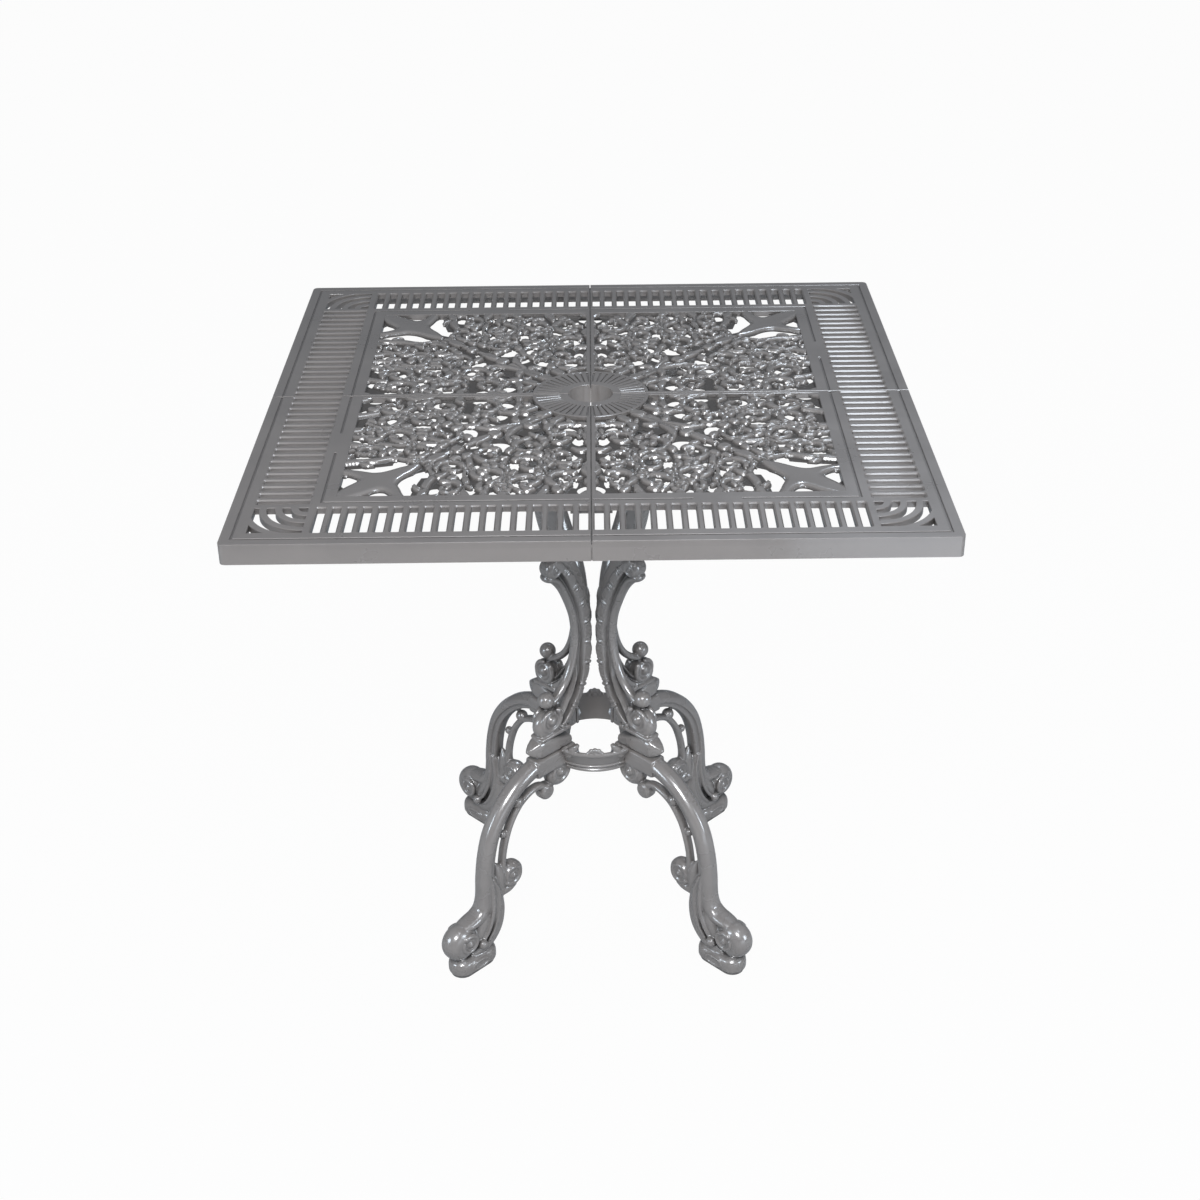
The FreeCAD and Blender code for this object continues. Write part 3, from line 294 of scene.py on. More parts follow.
# %% [markdown]
# ## Top: deck
# The deck is a flat plate with many straight openings. It could be cut from a block
# with booleans, but those are slow with forty slots. Instead, each outline is a list
# of points, a constrained triangulation fills the flat between outlines, and walls
# with a small chamfer join top and bottom. Outlines run with the solid on the left,
# so one inward shift serves the rim and the holes. Coordinates are those of the back
# right quarter, where x and y grow from the pole hole to the rim.


# %% Outlines in the plane
def arc_points(centre, radius, start, end, count):
    angles = np.radians(np.linspace(start, end, count))
    return np.column_stack([centre[0] + radius * np.cos(angles), centre[1] + radius * np.sin(angles)])


def hole_box(x_low, y_low, x_high, y_high, soft=1.4):
    """A straight slot with softened corners."""
    corners = [
        arc_points((x_low + soft, y_low + soft), soft, 270, 180, 4),
        arc_points((x_low + soft, y_high - soft), soft, 180, 90, 4),
        arc_points((x_high - soft, y_high - soft), soft, 90, 0, 4),
        arc_points((x_high - soft, y_low + soft), soft, 0, -90, 4),
    ]
    return np.vstack(corners)


def shift_inward(loop, distance):
    """The outline moved into the solid on its left, each corner along its own bisector."""
    before = loop - np.roll(loop, 1, axis=0)
    after = np.roll(loop, -1, axis=0) - loop
    before /= np.linalg.norm(before, axis=1)[:, None]
    after /= np.linalg.norm(after, axis=1)[:, None]
    left_before = np.column_stack([-before[:, 1], before[:, 0]])
    left_after = np.column_stack([-after[:, 1], after[:, 0]])
    both = left_before + left_after
    scale = 1.0 + np.sum(left_before * left_after, axis=1)
    return loop + both / np.maximum(scale, 0.35)[:, None] * distance


print("a slot outline has", len(hole_box(0, 0, 9, 56)), "points")


# %% Flats between outlines, and a plate with chamfered holes
def fill_flat(points, edges):
    """Triangles on the left side of directed edges; the fill never steps over an edge."""
    found = delaunay_2d_cdt([Vector(p) for p in points], edges, [], 0, 1e-7)
    number = [origin[0] if origin else -1 for origin in found[3]]
    triangles = [[number[v] for v in face] for face in found[2]]
    fence = set(edges)
    owner = {}
    for index, face in enumerate(triangles):
        for a, b in zip(face, face[1:] + face[:1]):
            owner[(a, b)] = index
    queue = [owner[edge] for edge in edges if edge in owner]
    inside = set(queue)
    while queue:
        face = triangles[queue.pop()]
        for a, b in zip(face, face[1:] + face[:1]):
            beyond = owner.get((b, a))
            if (a, b) not in fence and beyond is not None and beyond not in inside:
                inside.add(beyond)
                queue.append(beyond)
    return [triangles[index] for index in sorted(inside)]


def fill_between(loops):
    """The flat between whole outlines."""
    edges = []
    start = 0
    for loop in loops:
        count = len(loop)
        edges += [(start + i, start + (i + 1) % count) for i in range(count)]
        start += count
    return fill_flat(np.vstack(loops).tolist(), edges)


def plate(loops, low, high, chamfers=()):
    """A flat plate with holes; each loop's upper edge gets its own chamfer, or none."""
    rings = [[(0.0, low)] * len(loops)]
    if chamfers:
        rings.append([(0.0, high - size) for size in chamfers])
        rings.append([(size, high) for size in chamfers])
    else:
        rings.append([(0.0, high)] * len(loops))
    points = []
    for ring in rings:
        for loop, (inset, level) in zip(loops, ring):
            moved = shift_inward(loop, inset) if inset else loop
            points.append(np.column_stack([moved, np.full(len(moved), level)]))
    total = sum(len(loop) for loop in loops)
    faces = []
    start = 0
    for loop in loops:
        count = len(loop)
        for ring in range(len(rings) - 1):
            base = ring * total + start
            for i in range(count):
                j = (i + 1) % count
                faces.append([base + i, base + j, base + total + j, base + total + i])
        start += count
    bottom = cap = fill_between(loops)
    if chamfers:
        cap = fill_between([shift_inward(loop, size) for loop, size in zip(loops, chamfers)])
    last = (len(rings) - 1) * total
    faces += [[last + v for v in face] for face in cap]
    faces += [face[::-1] for face in bottom]
    return np.vstack(points), faces


print("a plate with one outline has", len(plate([hole_box(0, 0, 9, 56)[::-1]], 0, 1)[1]), "faces")


# %% [markdown]
# The quarter's outlines: the edge with its rounded corner and the quarter-round
# notch for the pole, the window for the lattice with the rosette standing into it,
# eighteen slots along each side, and the fan of curved openings in the corner.

# %% Outlines of one quarter of the top
BORDER = 293.5
SLOT_LENGTH = 56.0
SLOT_WIDTH = 9.4
SLOT_PITCH = 16.0
SLOT_COUNT = 18
FAN_RADII = ((0.0, 9.8), (18.0, 26.7), (34.5, 43.2), (51.0, 60.0), (68.0, 90.0))
rim_centre = (HALF - CORNER, HALF - CORNER)
rim_corner = arc_points(rim_centre, CORNER, 0, 90, 9)


def quarter_edge(gap):
    turn = math.degrees(math.asin(gap / POLE_HOLE))
    notch = arc_points((0, 0), POLE_HOLE, 90 - turn, turn, 24)
    return np.vstack([[[HALF, gap]], rim_corner, [[gap, HALF]], notch])


def window_hole():
    turn = math.degrees(math.asin(SEAM_BAR / ROSETTE))
    arc = arc_points((0, 0), ROSETTE, turn, 90 - turn, 40)
    return np.vstack([arc, [[SEAM_BAR, WINDOW], [WINDOW, WINDOW], [WINDOW, SEAM_BAR]]])


def fan_hole(inner, outer):
    """One curved opening of the corner fan, cut off by the square that holds the fan."""
    side = SLOT_LENGTH
    if inner > side:
        start = math.degrees(math.acos(side / inner))
        points = np.vstack([arc_points((0, 0), inner, start, 90 - start, 12), [[side, side]]])
    elif inner == 0.0:
        points = np.vstack([[[0, 0], [0, outer]], arc_points((0, 0), outer, 90, 0, 10)[1:]])
    else:
        start = math.degrees(math.acos(min(side / outer, 1.0)))
        far = arc_points((0, 0), outer, 90 - start, start, 20)
        if start > 0:
            far = np.vstack([[[0, side]], far, [[side, 0]]])
        points = np.vstack([arc_points((0, 0), inner, 0, 90, 16), far])
    return points + BORDER


deck_loops = [quarter_edge(SEAM), window_hole()]
for number in range(SLOT_COUNT):
    low = SLOT_PITCH * (number + 0.5) - SLOT_WIDTH / 2
    high = SLOT_PITCH * (number + 0.5) + SLOT_WIDTH / 2
    deck_loops.append(hole_box(low, BORDER, high, BORDER + SLOT_LENGTH))
    deck_loops.append(hole_box(BORDER, low, BORDER + SLOT_LENGTH, high))
for inner, outer in FAN_RADII:
    deck_loops.append(fan_hole(inner, outer))
print("openings in a quarter:", len(deck_loops) - 1)

# %% [markdown]
# Thin sunk lines run round the rim and round the lattice, where a stretch beside each
# corner is left bare, and the rosette has a fan of flutes. All of them are narrow
# holes through a thin top layer of the deck, so the layer below is their floor.

# %% Sunk lines and flutes
RIM_LINE = 363.0
FRAME_LINE = 281.8
LINE_START = SEAM + 1.2
BARE_PATCH = (106.0, 158.0)
FLUTE_COUNT = 12
FLUTE_STEP = 7.5


def groove(*corners, width=2.0):
    """A narrow channel along straight runs, as a hole through the deck's thin top layer."""
    path = np.array(corners, dtype=float)
    steps = np.diff(path, axis=0)
    steps /= np.linalg.norm(steps, axis=1)[:, None]
    left = np.column_stack([-steps[:, 1], steps[:, 0]])
    sides = []
    for sign in (1, -1):
        line = [path[0] + sign * left[0] * width / 2]
        for i in range(1, len(path) - 1):
            line.append(path[i] + sign * (left[i - 1] + left[i]) * width / 2)
        line.append(path[-1] + sign * left[-1] * width / 2)
        sides.append(line)
    return np.array(sides[0] + sides[1][::-1])


line_loops = [
    groove((LINE_START, RIM_LINE), (RIM_LINE, RIM_LINE), (RIM_LINE, LINE_START)),
    groove((LINE_START, FRAME_LINE), (FRAME_LINE, FRAME_LINE), (FRAME_LINE, BARE_PATCH[1])),
    groove((FRAME_LINE, BARE_PATCH[0]), (FRAME_LINE, LINE_START)),
]
flute = np.array([[36.5, -0.35], [36.5, 0.35], [64.5, 1.0], [64.5, -1.0]])
for number in range(FLUTE_COUNT):
    turn = np.radians(FLUTE_STEP * (number + 0.5))
    spin = np.array([[np.cos(turn), np.sin(turn)], [-np.sin(turn), np.cos(turn)]])
    line_loops.append(flute @ spin)
print("lines in a quarter:", len(line_loops))

# %% Deck of one quarter: three layers, the rim under them and the pole wall
TOP_LAYER = 1.7
TONGUE_LAYER = 3.0
SLOT_CHAMFER = 1.5
SMALL_CHAMFER = 0.6
RIM_CHAMFER = 0.35


def same_way(loop, hole):
    area = np.sum(loop[:, 0] * np.roll(loop[:, 1], -1) - np.roll(loop[:, 0], -1) * loop[:, 1])
    return loop[::-1] if (area > 0) == hole else loop


deck_loops = [same_way(loop, number > 0) for number, loop in enumerate(deck_loops)]
line_loops = [same_way(loop, True) for loop in line_loops]
lower_loops = [quarter_edge(TONGUE)] + deck_loops[1:]
rim_inner = arc_points(rim_centre, CORNER - RIM_WALL, 90, 0, 9)
seam_face = HALF - SEAM_DEPTH
rim_loop = np.vstack([
    [[seam_face, TONGUE], [seam_face, SEAM], [HALF, SEAM]], rim_corner,
    [[SEAM, HALF], [SEAM, seam_face], [TONGUE, seam_face], [TONGUE, HALF - RIM_WALL]], rim_inner,
    [[HALF - RIM_WALL, TONGUE]]])
wall_loop = np.vstack([
    arc_points((0, 0), POLE_HOLE + POLE_WALL, 0.1, 89.9, 24), arc_points((0, 0), POLE_HOLE, 89.9, 0.1, 24)])
chamfers = [RIM_CHAMFER, SMALL_CHAMFER] + [SLOT_CHAMFER] * (2 * SLOT_COUNT)
chamfers += [SMALL_CHAMFER] * (len(FAN_RADII) + len(line_loops))
layers = [
    plate(deck_loops + line_loops, TOP - TOP_LAYER, TOP, chamfers),
    plate(deck_loops, UNDERSIDE + TONGUE_LAYER, TOP - TOP_LAYER),
    plate(lower_loops, UNDERSIDE, UNDERSIDE + TONGUE_LAYER),
    plate([same_way(rim_loop, False)], TOP - RIM_DEPTH, UNDERSIDE),
    plate([same_way(wall_loop, False)], TOP - RIM_DEPTH, UNDERSIDE),
]


def join(shapes):
    """Several shapes as one list of points and one of faces."""
    points, faces, start = [], [], 0
    for more_points, more_faces in shapes:
        points.append(more_points)
        faces += [[start + v for v in face] for face in more_faces]
        start += len(more_points)
    return np.vstack(points), faces


deck_points, deck_faces = join(layers)
print("deck points:", len(deck_points))

# %% [markdown]
# ## Top: scroll lattice
# The middle of each panel is pierced scrollwork: scrolls with lobed leaves, small
# beads, and slanting openings between them. Carving each leaf by hand would take
# days, so the lattice is a grid of heights. Each opening is a formula that is
# negative inside it, and each leaf or scroll is a line of points with half widths.
# The drawing is only for half a quarter: the other half is its mirror in the diagonal.
# An opening is given by its middle, length, width, turn in degrees and bend. Beside
# the rosette lie two thin crescents, placed by their angle from the diagonal.

# %% Openings as signed distances
LATTICE_UNDERSIDE = 724.6
STEP = 0.9
LENGTHEN = 1.15
WIDEN = 1.35
EYE_RADIUS = 3.2
EYE_PLACE = 101
CRESCENT_RADIUS = 70.9
CRESCENT_HALF_WIDTH = 1.7
CRESCENT_MIDDLE = 17
CRESCENT_SPREAD = 14
ticks = np.arange(3.7, WINDOW + 1.2, STEP)
grid_x, grid_y = np.meshgrid(ticks, ticks, indexing="ij")

OPENINGS = (
    (10, 80, 18, 7, 8, 0), (26, 100, 15, 8, 80, 2), (15, 126, 17, 9, 105, 2), (44, 124, 16, 5, 70, 0),
    (57, 106, 16, 7, 60, -2), (82, 118, 18, 6, 100, 2), (74, 145, 18, 7, 95, -2), (101, 140, 20, 10, 125, 3),
    (25, 174, 20, 11, 60, 3), (46, 156, 12, 6, 110, 2), (14, 200, 14, 7, 40, 0), (62, 178, 14, 6, 70, 2),
    (86, 191, 17, 8, 75, 3), (120, 151, 12, 8, 60, 0), (46, 205, 14, 7, 20, 0), (126, 196, 14, 7, 80, 0),
    (26, 231, 24, 9, 130, 3), (66, 225, 14, 9, 20, 2), (84, 246, 26, 9, 88, 2), (102, 218, 12, 7, 70, 0),
    (138, 211, 22, 10, 100, -2), (150, 180, 16, 8, 50, 2), (132, 247, 20, 9, 105, 2),
    (119, 264, 13, 6, 0, 0), (165, 251, 12, 9, 70, 0), (176, 206, 20, 8, 45, 1),
    (189, 233, 54, 13, 78, -9), (224, 261, 24, 12, 0, -2), (44, 262, 13, 6, 0, 0),
    (104, 259, 10, 6, 80, 0), (152, 264, 12, 6, 20, 0), (8, 252, 14, 7, 80, 0),
    (134, 134, 14, 9, -45, 1), (181, 181, 16, 8, -45, 1), (160, 160, 10, 6, -45, 0),
)


def lens(x, y, middle_x, middle_y, length, width, angle, bend):
    """Distance to a pointed opening, negative inside it; a bend makes it a crescent."""
    length, width = length * LENGTHEN, width * WIDEN
    turn = math.radians(angle)
    along = (x - middle_x) * math.cos(turn) + (y - middle_y) * math.sin(turn)
    across = (y - middle_y) * math.cos(turn) - (x - middle_x) * math.sin(turn)
    share = 1.0 - (2.0 * along / length) ** 2
    slope = 4.0 * (abs(bend) + width / 2) * along / length ** 2 * 2.0
    steep = np.clip(slope, -1.5, 1.5)
    return (np.abs(across - bend * share) - width / 2 * share) / np.sqrt(1.0 + steep ** 2)


lenses = np.full(grid_x.shape, 99.0)
for opening in OPENINGS:
    lenses = np.minimum(lenses, lens(grid_x, grid_y, *opening))
    lenses = np.minimum(lenses, lens(grid_y, grid_x, *opening))
radius = np.hypot(grid_x, grid_y)
bearing = np.degrees(np.arctan2(grid_y, grid_x))
off_middle = np.abs(np.abs(bearing - 45) - CRESCENT_MIDDLE)
crescent_ends = 0.35 * (off_middle - CRESCENT_SPREAD) * 3
crescent = np.maximum(np.abs(radius - CRESCENT_RADIUS) - CRESCENT_HALF_WIDTH, crescent_ends)
solid = np.minimum(lenses, crescent)
solid = np.minimum(solid, np.hypot(grid_x - EYE_PLACE, grid_y - EYE_PLACE) - EYE_RADIUS)
solid = np.minimum(solid, radius - (ROSETTE - 1.0))
print("grid:", solid.shape, "open share:", round(float(np.mean(solid < 0)), 3))

# %% [markdown]
# Scrolls are built from half circles that tighten towards an eye, as one draws them
# with a compass. Short bent leaves with round ends sit on the back of each scroll,
# and longer leaves run between them. The broad leaf in the corner is three lines
# that melt into one shape. A scroll is given by its middle, size, first bearing, line
# width, side and number of leaves; a leaf by its points and their widths.

# %% Strokes: leaves, beads and scrolls
def curve_through(rows, steps):
    """A smooth curve through all the rows, with so many steps from each to the next."""
    rows = np.asarray(rows, dtype=float)
    padded = np.vstack([2 * rows[0] - rows[1], rows, 2 * rows[-1] - rows[-2]])
    out = []
    for i in range(1, len(padded) - 2):
        a, b, c, d = padded[i - 1], padded[i], padded[i + 1], padded[i + 2]
        for t in np.arange(steps) / steps:
            out.append(0.5 * (2 * b + (c - a) * t + (2 * a - 5 * b + 4 * c - d) * t ** 2
                              + (3 * b - a - 3 * c + d) * t ** 3))
    out.append(padded[-2])
    return np.array(out)


def leaf(points, widths, steps=6):
    rows = np.column_stack([np.array(points, dtype=float), np.array(widths) / 2])
    return [curve_through(rows, steps)]


def bead(x, y, size):
    return [np.array([[x, y, size / 2], [x + 0.01, y, size / 2]])]


def comma(x, y, heading, length, width, side):
    """A short leaf that bends to one side and ends in a round lobe."""
    points, angle = [(x, y)], heading
    for share in (0.4, 0.34, 0.26):
        angle += side * 30
        way = math.radians(angle)
        last_x, last_y = points[-1]
        points.append((last_x + length * share * math.cos(way), last_y + length * share * math.sin(way)))
    return leaf(points, [width * 0.45, width * 0.8, width, width * 0.9], 4)


def scroll(x, y, size, start, width, side, leaves):
    """A scroll: two half turns that tighten to a round eye, with lobed leaves on its back."""
    turns, centre, angle, reach = [], np.array([x, y], dtype=float), start, size
    for number in range(2):
        ways = np.radians(angle + 180 * side * np.linspace(0, 1, 10))
        turns.append(np.column_stack([
            centre[0] + reach * np.cos(ways), centre[1] + reach * np.sin(ways),
            np.linspace(1.0, 0.86, 10) * width * 0.82 ** number / 2]))
        end = turns[-1][-1, :2]
        centre = end + (centre - end) * 0.60
        reach *= 0.60
        angle += 180 * side
    made = [np.vstack(turns)] + bead(*turns[1][-1, :2], width * 1.15)
    for number in range(leaves):
        way = math.radians(start + 180 * side * (number + 0.35) / leaves * 1.35)
        root = (x + size * math.cos(way), y + size * math.sin(way))
        heading = math.degrees(way) - side * 40
        made += comma(*root, heading, size * 0.72, width * 1.15, side)
    return made


print("strokes of a scroll:", len(scroll(0, 0, 16, 0, 9.0, 1, 3)))

# %% Drawing of half a quarter, and of its diagonal
SCROLLS = (
    (29, 122, 16, 190, 9.0, 1, 3), (27, 172, 16, 150, 9.0, -1, 3), (28, 226, 18, 240, 9.6, 1, 3),
    (68, 138, 17, 280, 9.2, 1, 3), (70, 188, 17, 320, 9.4, -1, 3), (70, 236, 18, 70, 9.8, -1, 3),
    (110, 164, 17, 250, 9.2, 1, 3), (114, 218, 19, 110, 10.0, 1, 4), (154, 196, 16, 10, 9.2, -1, 3),
    (153, 244, 15, 290, 9.0, -1, 3),
)
LEAVES = (
    ([(34, 64), (48, 86), (46, 104)], [11, 11, 7]),
    ([(62, 64), (82, 84), (92, 108), (90, 128)], [12, 11, 9, 6]),
    ([(4, 84), (20, 82), (36, 86)], [9, 10, 8]),
    ([(3, 96), (8, 112), (4, 134)], [9, 9, 6]),
    ([(48, 150), (47, 172), (52, 194), (48, 214)], [7, 10, 9, 6]),
    ([(3, 186), (8, 202), (4, 214)], [6, 9, 6]),
    ([(92, 192), (90, 210), (93, 232), (92, 252), (96, 272)], [6, 9, 7, 8, 13]),
    ([(134, 172), (133, 190), (137, 212), (134, 232), (136, 252), (132, 272)], [6, 9, 8, 8, 8, 13]),
    ([(176, 184), (174, 202), (170, 218), (176, 236), (178, 254), (180, 272)], [11, 9, 8, 9, 9, 13]),
    ([(48, 246), (50, 258), (54, 272)], [6, 10, 13]),
    ([(5, 260), (8, 272)], [9, 13]),
    ([(112, 246), (114, 260), (112, 272)], [7, 9, 12]),
)
CORNER_LEAVES = (
    ([(188, 188), (206, 206), (228, 228), (250, 250), (273, 273)], [9, 24, 36, 30, 18]),
    ([(226, 226), (214, 244), (207, 258), (204, 273)], [30, 22, 17, 14]),
    ([(226, 226), (244, 214), (258, 207), (273, 204)], [30, 22, 17, 14]),
)
half_drawing = []
for sizes in SCROLLS:
    half_drawing += scroll(*sizes)
for points, widths in LEAVES:
    half_drawing += leaf(points, widths)
corner_leaf = []
for points, widths in CORNER_LEAVES:
    corner_leaf += leaf(points, widths)
diagonal = leaf([(50, 50), (70, 70), (96, 96)], [16, 12, 11]) + bead(108, 108, 17) + bead(148, 148, 15)
diagonal += leaf([(116, 116), (126, 126), (138, 138)], [9, 13, 8])
diagonal += leaf([(156, 156), (168, 168), (184, 184)], [8, 14, 10])
print("strokes in half a quarter:", len(half_drawing))

# %% [markdown]
# At every grid point the nearest and the next nearest stroke are kept. Where the two
# are equally far there is a valley, so each stroke swells up like a pillow between
# its neighbours. Gaps that no stroke reaches are filled with more short leaves from
# a seeded generator, and what is still bare lies a little deeper. The corner leaf is
# drawn first, so that its own distance also gives the fall of its flanks.

# %% Nearest and next nearest stroke at every grid point
FAR = 9.0
SKIRT = 0.6
CORNER_BLEND = 8.0
CORNER_FALL = 7.0
nearest = np.full(grid_x.shape, FAR)
second = np.full(grid_x.shape, FAR)


def add_stroke(lines, blend=0.0):
    """Lower the two fields by one stroke, which may be several lines that melt together."""
    rows = np.vstack(lines)
    margin = rows[:, 2].max() + FAR
    i0, j0 = np.searchsorted(ticks, rows[:, :2].min(axis=0) - margin)
    i1, j1 = np.searchsorted(ticks, rows[:, :2].max(axis=0) + margin)
    if i0 >= i1 or j0 >= j1:
        return
    x, y = grid_x[i0:i1, j0:j1], grid_y[i0:i1, j0:j1]
    field = np.full(x.shape, FAR)
    for line in lines:
        own = np.full(x.shape, FAR)
        for first, last in zip(line[:-1], line[1:]):
            step = last - first
            span = max(float(step[0] ** 2 + step[1] ** 2), 1e-9)
            share = np.clip(((x - first[0]) * step[0] + (y - first[1]) * step[1]) / span, 0.0, 1.0)
            away = np.hypot(x - first[0] - share * step[0], y - first[1] - share * step[1])
            own = np.minimum(own, away - first[2] - share * step[2])
        if blend:
            mix = np.clip(0.5 + 0.5 * (field - own) / blend, 0.0, 1.0)
            field = field + (own - field) * mix - blend * mix * (1.0 - mix)
        else:
            field = np.minimum(field, own)
    near, after = nearest[i0:i1, j0:j1], second[i0:i1, j0:j1]
    after[:] = np.where(field < near, near, np.minimum(after, field))
    near[:] = np.minimum(near, field)


add_stroke(corner_leaf, CORNER_BLEND)
broad = np.clip(1.0 + nearest / CORNER_FALL, 0.0, 1.0) * (nearest < SKIRT)
for stroke in diagonal:
    add_stroke([stroke])
for stroke in half_drawing:
    add_stroke([stroke])
    add_stroke([stroke[:, [1, 0, 2]]])
print("strokes drawn:", 2 * len(half_drawing) + len(diagonal) + 1)

# %% Short leaves in the gaps
FILLER_TRIES = 500
FILLER_ROOM = 4.4
rng = np.random.default_rng(11)
filled = 0
for _ in range(FILLER_TRIES):
    x, y = rng.uniform(4, WINDOW - 2, 2)
    i, j = np.searchsorted(ticks, (x, y))
    if y < x or max(i, j) >= len(ticks) or math.hypot(x, y) < ROSETTE + 3:
        continue
    if nearest[i, j] < FILLER_ROOM or lenses[i, j] < 0:
        continue
    side = rng.choice((-1, 1))
    heading = math.degrees(math.atan2(y, x)) + rng.uniform(-40, 40)
    stroke = comma(x, y, heading, rng.uniform(12, 18), rng.uniform(8.0, 10.0), side)[0]
    add_stroke([stroke])
    add_stroke([stroke[:, [1, 0, 2]]])
    filled += 1
print("fillers:", 2 * filled)

# %% [markdown]
# The height drops in the valleys, in the bare gaps and towards every opening, where
# the shoulder is round as on a moulded edge. A light smoothing takes off the steps.
# Strokes and openings give way to each other: a stroke keeps its middle where it
# crosses an opening, and a bare place near an opening is open too.

# %% Height of the lattice
ROUND = 2.7
VALLEY_DEPTH = 3.6
PIT_DEPTH = 1.0
SHOULDER_DEPTH = 1.8
CORNER_SLOPE = 2.2
SHOULDER_REACH = 1.1
HIGHEST = TOP - 0.15
STROKE_TRIM = 1.8
NEAR_OPENING = 2.4
BARE_FROM = 1.2
open_gap = np.maximum(lenses - NEAR_OPENING, BARE_FROM - nearest)
solid = np.minimum(np.maximum(solid, -nearest - STROKE_TRIM), open_gap)
inside = np.clip(np.minimum((second - nearest) / 2.0, SKIRT - nearest), 0.0, ROUND)
valley = VALLEY_DEPTH * (1.0 - np.sqrt(1.0 - (1.0 - inside / ROUND) ** 2))
pit = PIT_DEPTH * np.clip((nearest - SKIRT) / 1.2, 0.0, 1.0)
shoulder = SHOULDER_DEPTH * np.exp(-np.maximum(solid, 0.0) / SHOULDER_REACH)
height = HIGHEST - valley - pit - shoulder - CORNER_SLOPE * broad ** 2
softened = height.copy()
softened[1:-1, 1:-1] = (4 * height[1:-1, 1:-1] + height[2:, 1:-1] + height[:-2, 1:-1]
                        + height[1:-1, 2:] + height[1:-1, :-2]) / 8
height = np.clip(softened, LATTICE_UNDERSIDE + 0.8, HIGHEST)
print("lattice heights:", round(float(height.min()), 2), "to", round(float(height.max()), 2))

# %% [markdown]
# Marching squares turns the grid into polygons: a cell whose corners are all solid is
# a square, and a cell that an opening cuts keeps only its solid side, with new points
# where the formula crosses zero. So hole edges come out smooth, not stepped.
# The rim of those polygons gets walls down to the underside, which is filled flat.

# %% Polygons of the lattice
def contour_cells(values, heights):
    """Points and polygons of the part of the grid where values are above zero."""
    rows, columns = values.shape
    inside = values > 0
    points = [np.column_stack([grid_x.ravel(), grid_y.ravel(), heights.ravel()])]
    grid_number = np.arange(rows * columns).reshape(rows, columns)
    total = rows * columns
    crossing = {}
    for axis in (0, 1):
        a = (slice(0, -1), slice(None)) if axis == 0 else (slice(None), slice(0, -1))
        b = (slice(1, None), slice(None)) if axis == 0 else (slice(None), slice(1, None))
        cut = inside[a] != inside[b]
        share = np.clip(values[a][cut] / (values[a][cut] - values[b][cut]), 0.1, 0.9)
        first = points[0][grid_number[a][cut]]
        second = points[0][grid_number[b][cut]]
        fresh = first + (second - first) * share[:, None]
        fresh[:, 2] = np.where(inside[a][cut], first[:, 2], second[:, 2])
        table = np.full(cut.shape, -1)
        table[cut] = total + np.arange(len(fresh))
        total += len(fresh)
        points.append(fresh)
        crossing[axis] = table
    corners = [grid_number[:-1, :-1], grid_number[1:, :-1], grid_number[1:, 1:], grid_number[:-1, 1:]]
    sides = [crossing[0][:, :-1], crossing[1][1:, :], crossing[0][:, 1:], crossing[1][:-1, :]]
    solid_corner = [inside[:-1, :-1], inside[1:, :-1], inside[1:, 1:], inside[:-1, 1:]]
    case = sum(flag.astype(int) << k for k, flag in enumerate(solid_corner))
    faces = []
    for number in range(1, 16):
        chosen = case == number
        walk = []
        for k in range(4):
            here, after = number >> k & 1, number >> (k + 1) % 4 & 1
            if here:
                walk.append(corners[k][chosen])
            if here != after:
                walk.append(sides[k][chosen])
        faces += np.column_stack(walk).tolist()
    return np.vstack(points), faces


upper_points, upper_faces = contour_cells(solid, height)
print("polygons on top:", len(upper_faces))


# %% Walls and underside of the lattice
def close_below(points, faces, underside):
    """The polygons with walls down from their rim, and a flat underside."""
    used = np.unique(np.concatenate([np.array(face) for face in faces]))
    renumber = np.full(len(points), -1)
    renumber[used] = np.arange(len(used))
    points = points[used]
    faces = [renumber[face].tolist() for face in faces]
    directed = {}
    for face in faces:
        for a, b in zip(face, face[1:] + face[:1]):
            if (b, a) in directed:
                del directed[(b, a)]
            else:
                directed[(a, b)] = True
    rim = sorted({v for edge in directed for v in edge})
    below = {v: len(points) + i for i, v in enumerate(rim)}
    low_points = points[rim].copy()
    low_points[:, 2] = underside
    local = {v: i for i, v in enumerate(rim)}
    edges = [(local[a], local[b]) for a, b in directed]
    filled = fill_flat(low_points[:, :2].tolist(), edges)
    walls = [[b, a, below[a], below[b]] for a, b in directed]
    bottom = [[below[rim[v]] for v in face][::-1] for face in filled]
    return np.vstack([points, low_points]), faces + walls + bottom


lattice_points, lattice_faces = close_below(upper_points, upper_faces, LATTICE_UNDERSIDE)
print("lattice points:", len(lattice_points), "faces:", len(lattice_faces))

# %% Place the four panels
panel_shapes = [(deck_points, deck_faces), (lattice_points, lattice_faces)]
panel_mesh = make_mesh("top_panel_quarter", *join(panel_shapes))
panel_mesh.materials.append(table_grey)
panel_mesh.materials.append(lattice_grey)
finish_number = np.zeros(len(panel_mesh.polygons), dtype=np.int32)
finish_number[len(deck_faces):] = 1
panel_mesh.polygons.foreach_set("material_index", finish_number)
for quarter, turn in PANEL_TURNS.items():
    place(panel_mesh, f"panel_{quarter}", turn, table_grey, f"top_panel_{quarter}")
print("panels placed:", len(PANEL_TURNS))

# %% [markdown]
# ## Cast scrolls
# Brackets and legs are organic: bars that swell and taper, rolled ends, beads and
# leaves that flow into each other. They are drawn as overlapping closed tubes in
# the plane of the leg, with r out from the axis, z up and w across. A voxel remesh
# then fuses them, and a little smoothing gives the soft joints of a casting.


# %% Tubes
CAP_STEPS = (0.999, 0.92, 0.7, 0.38)


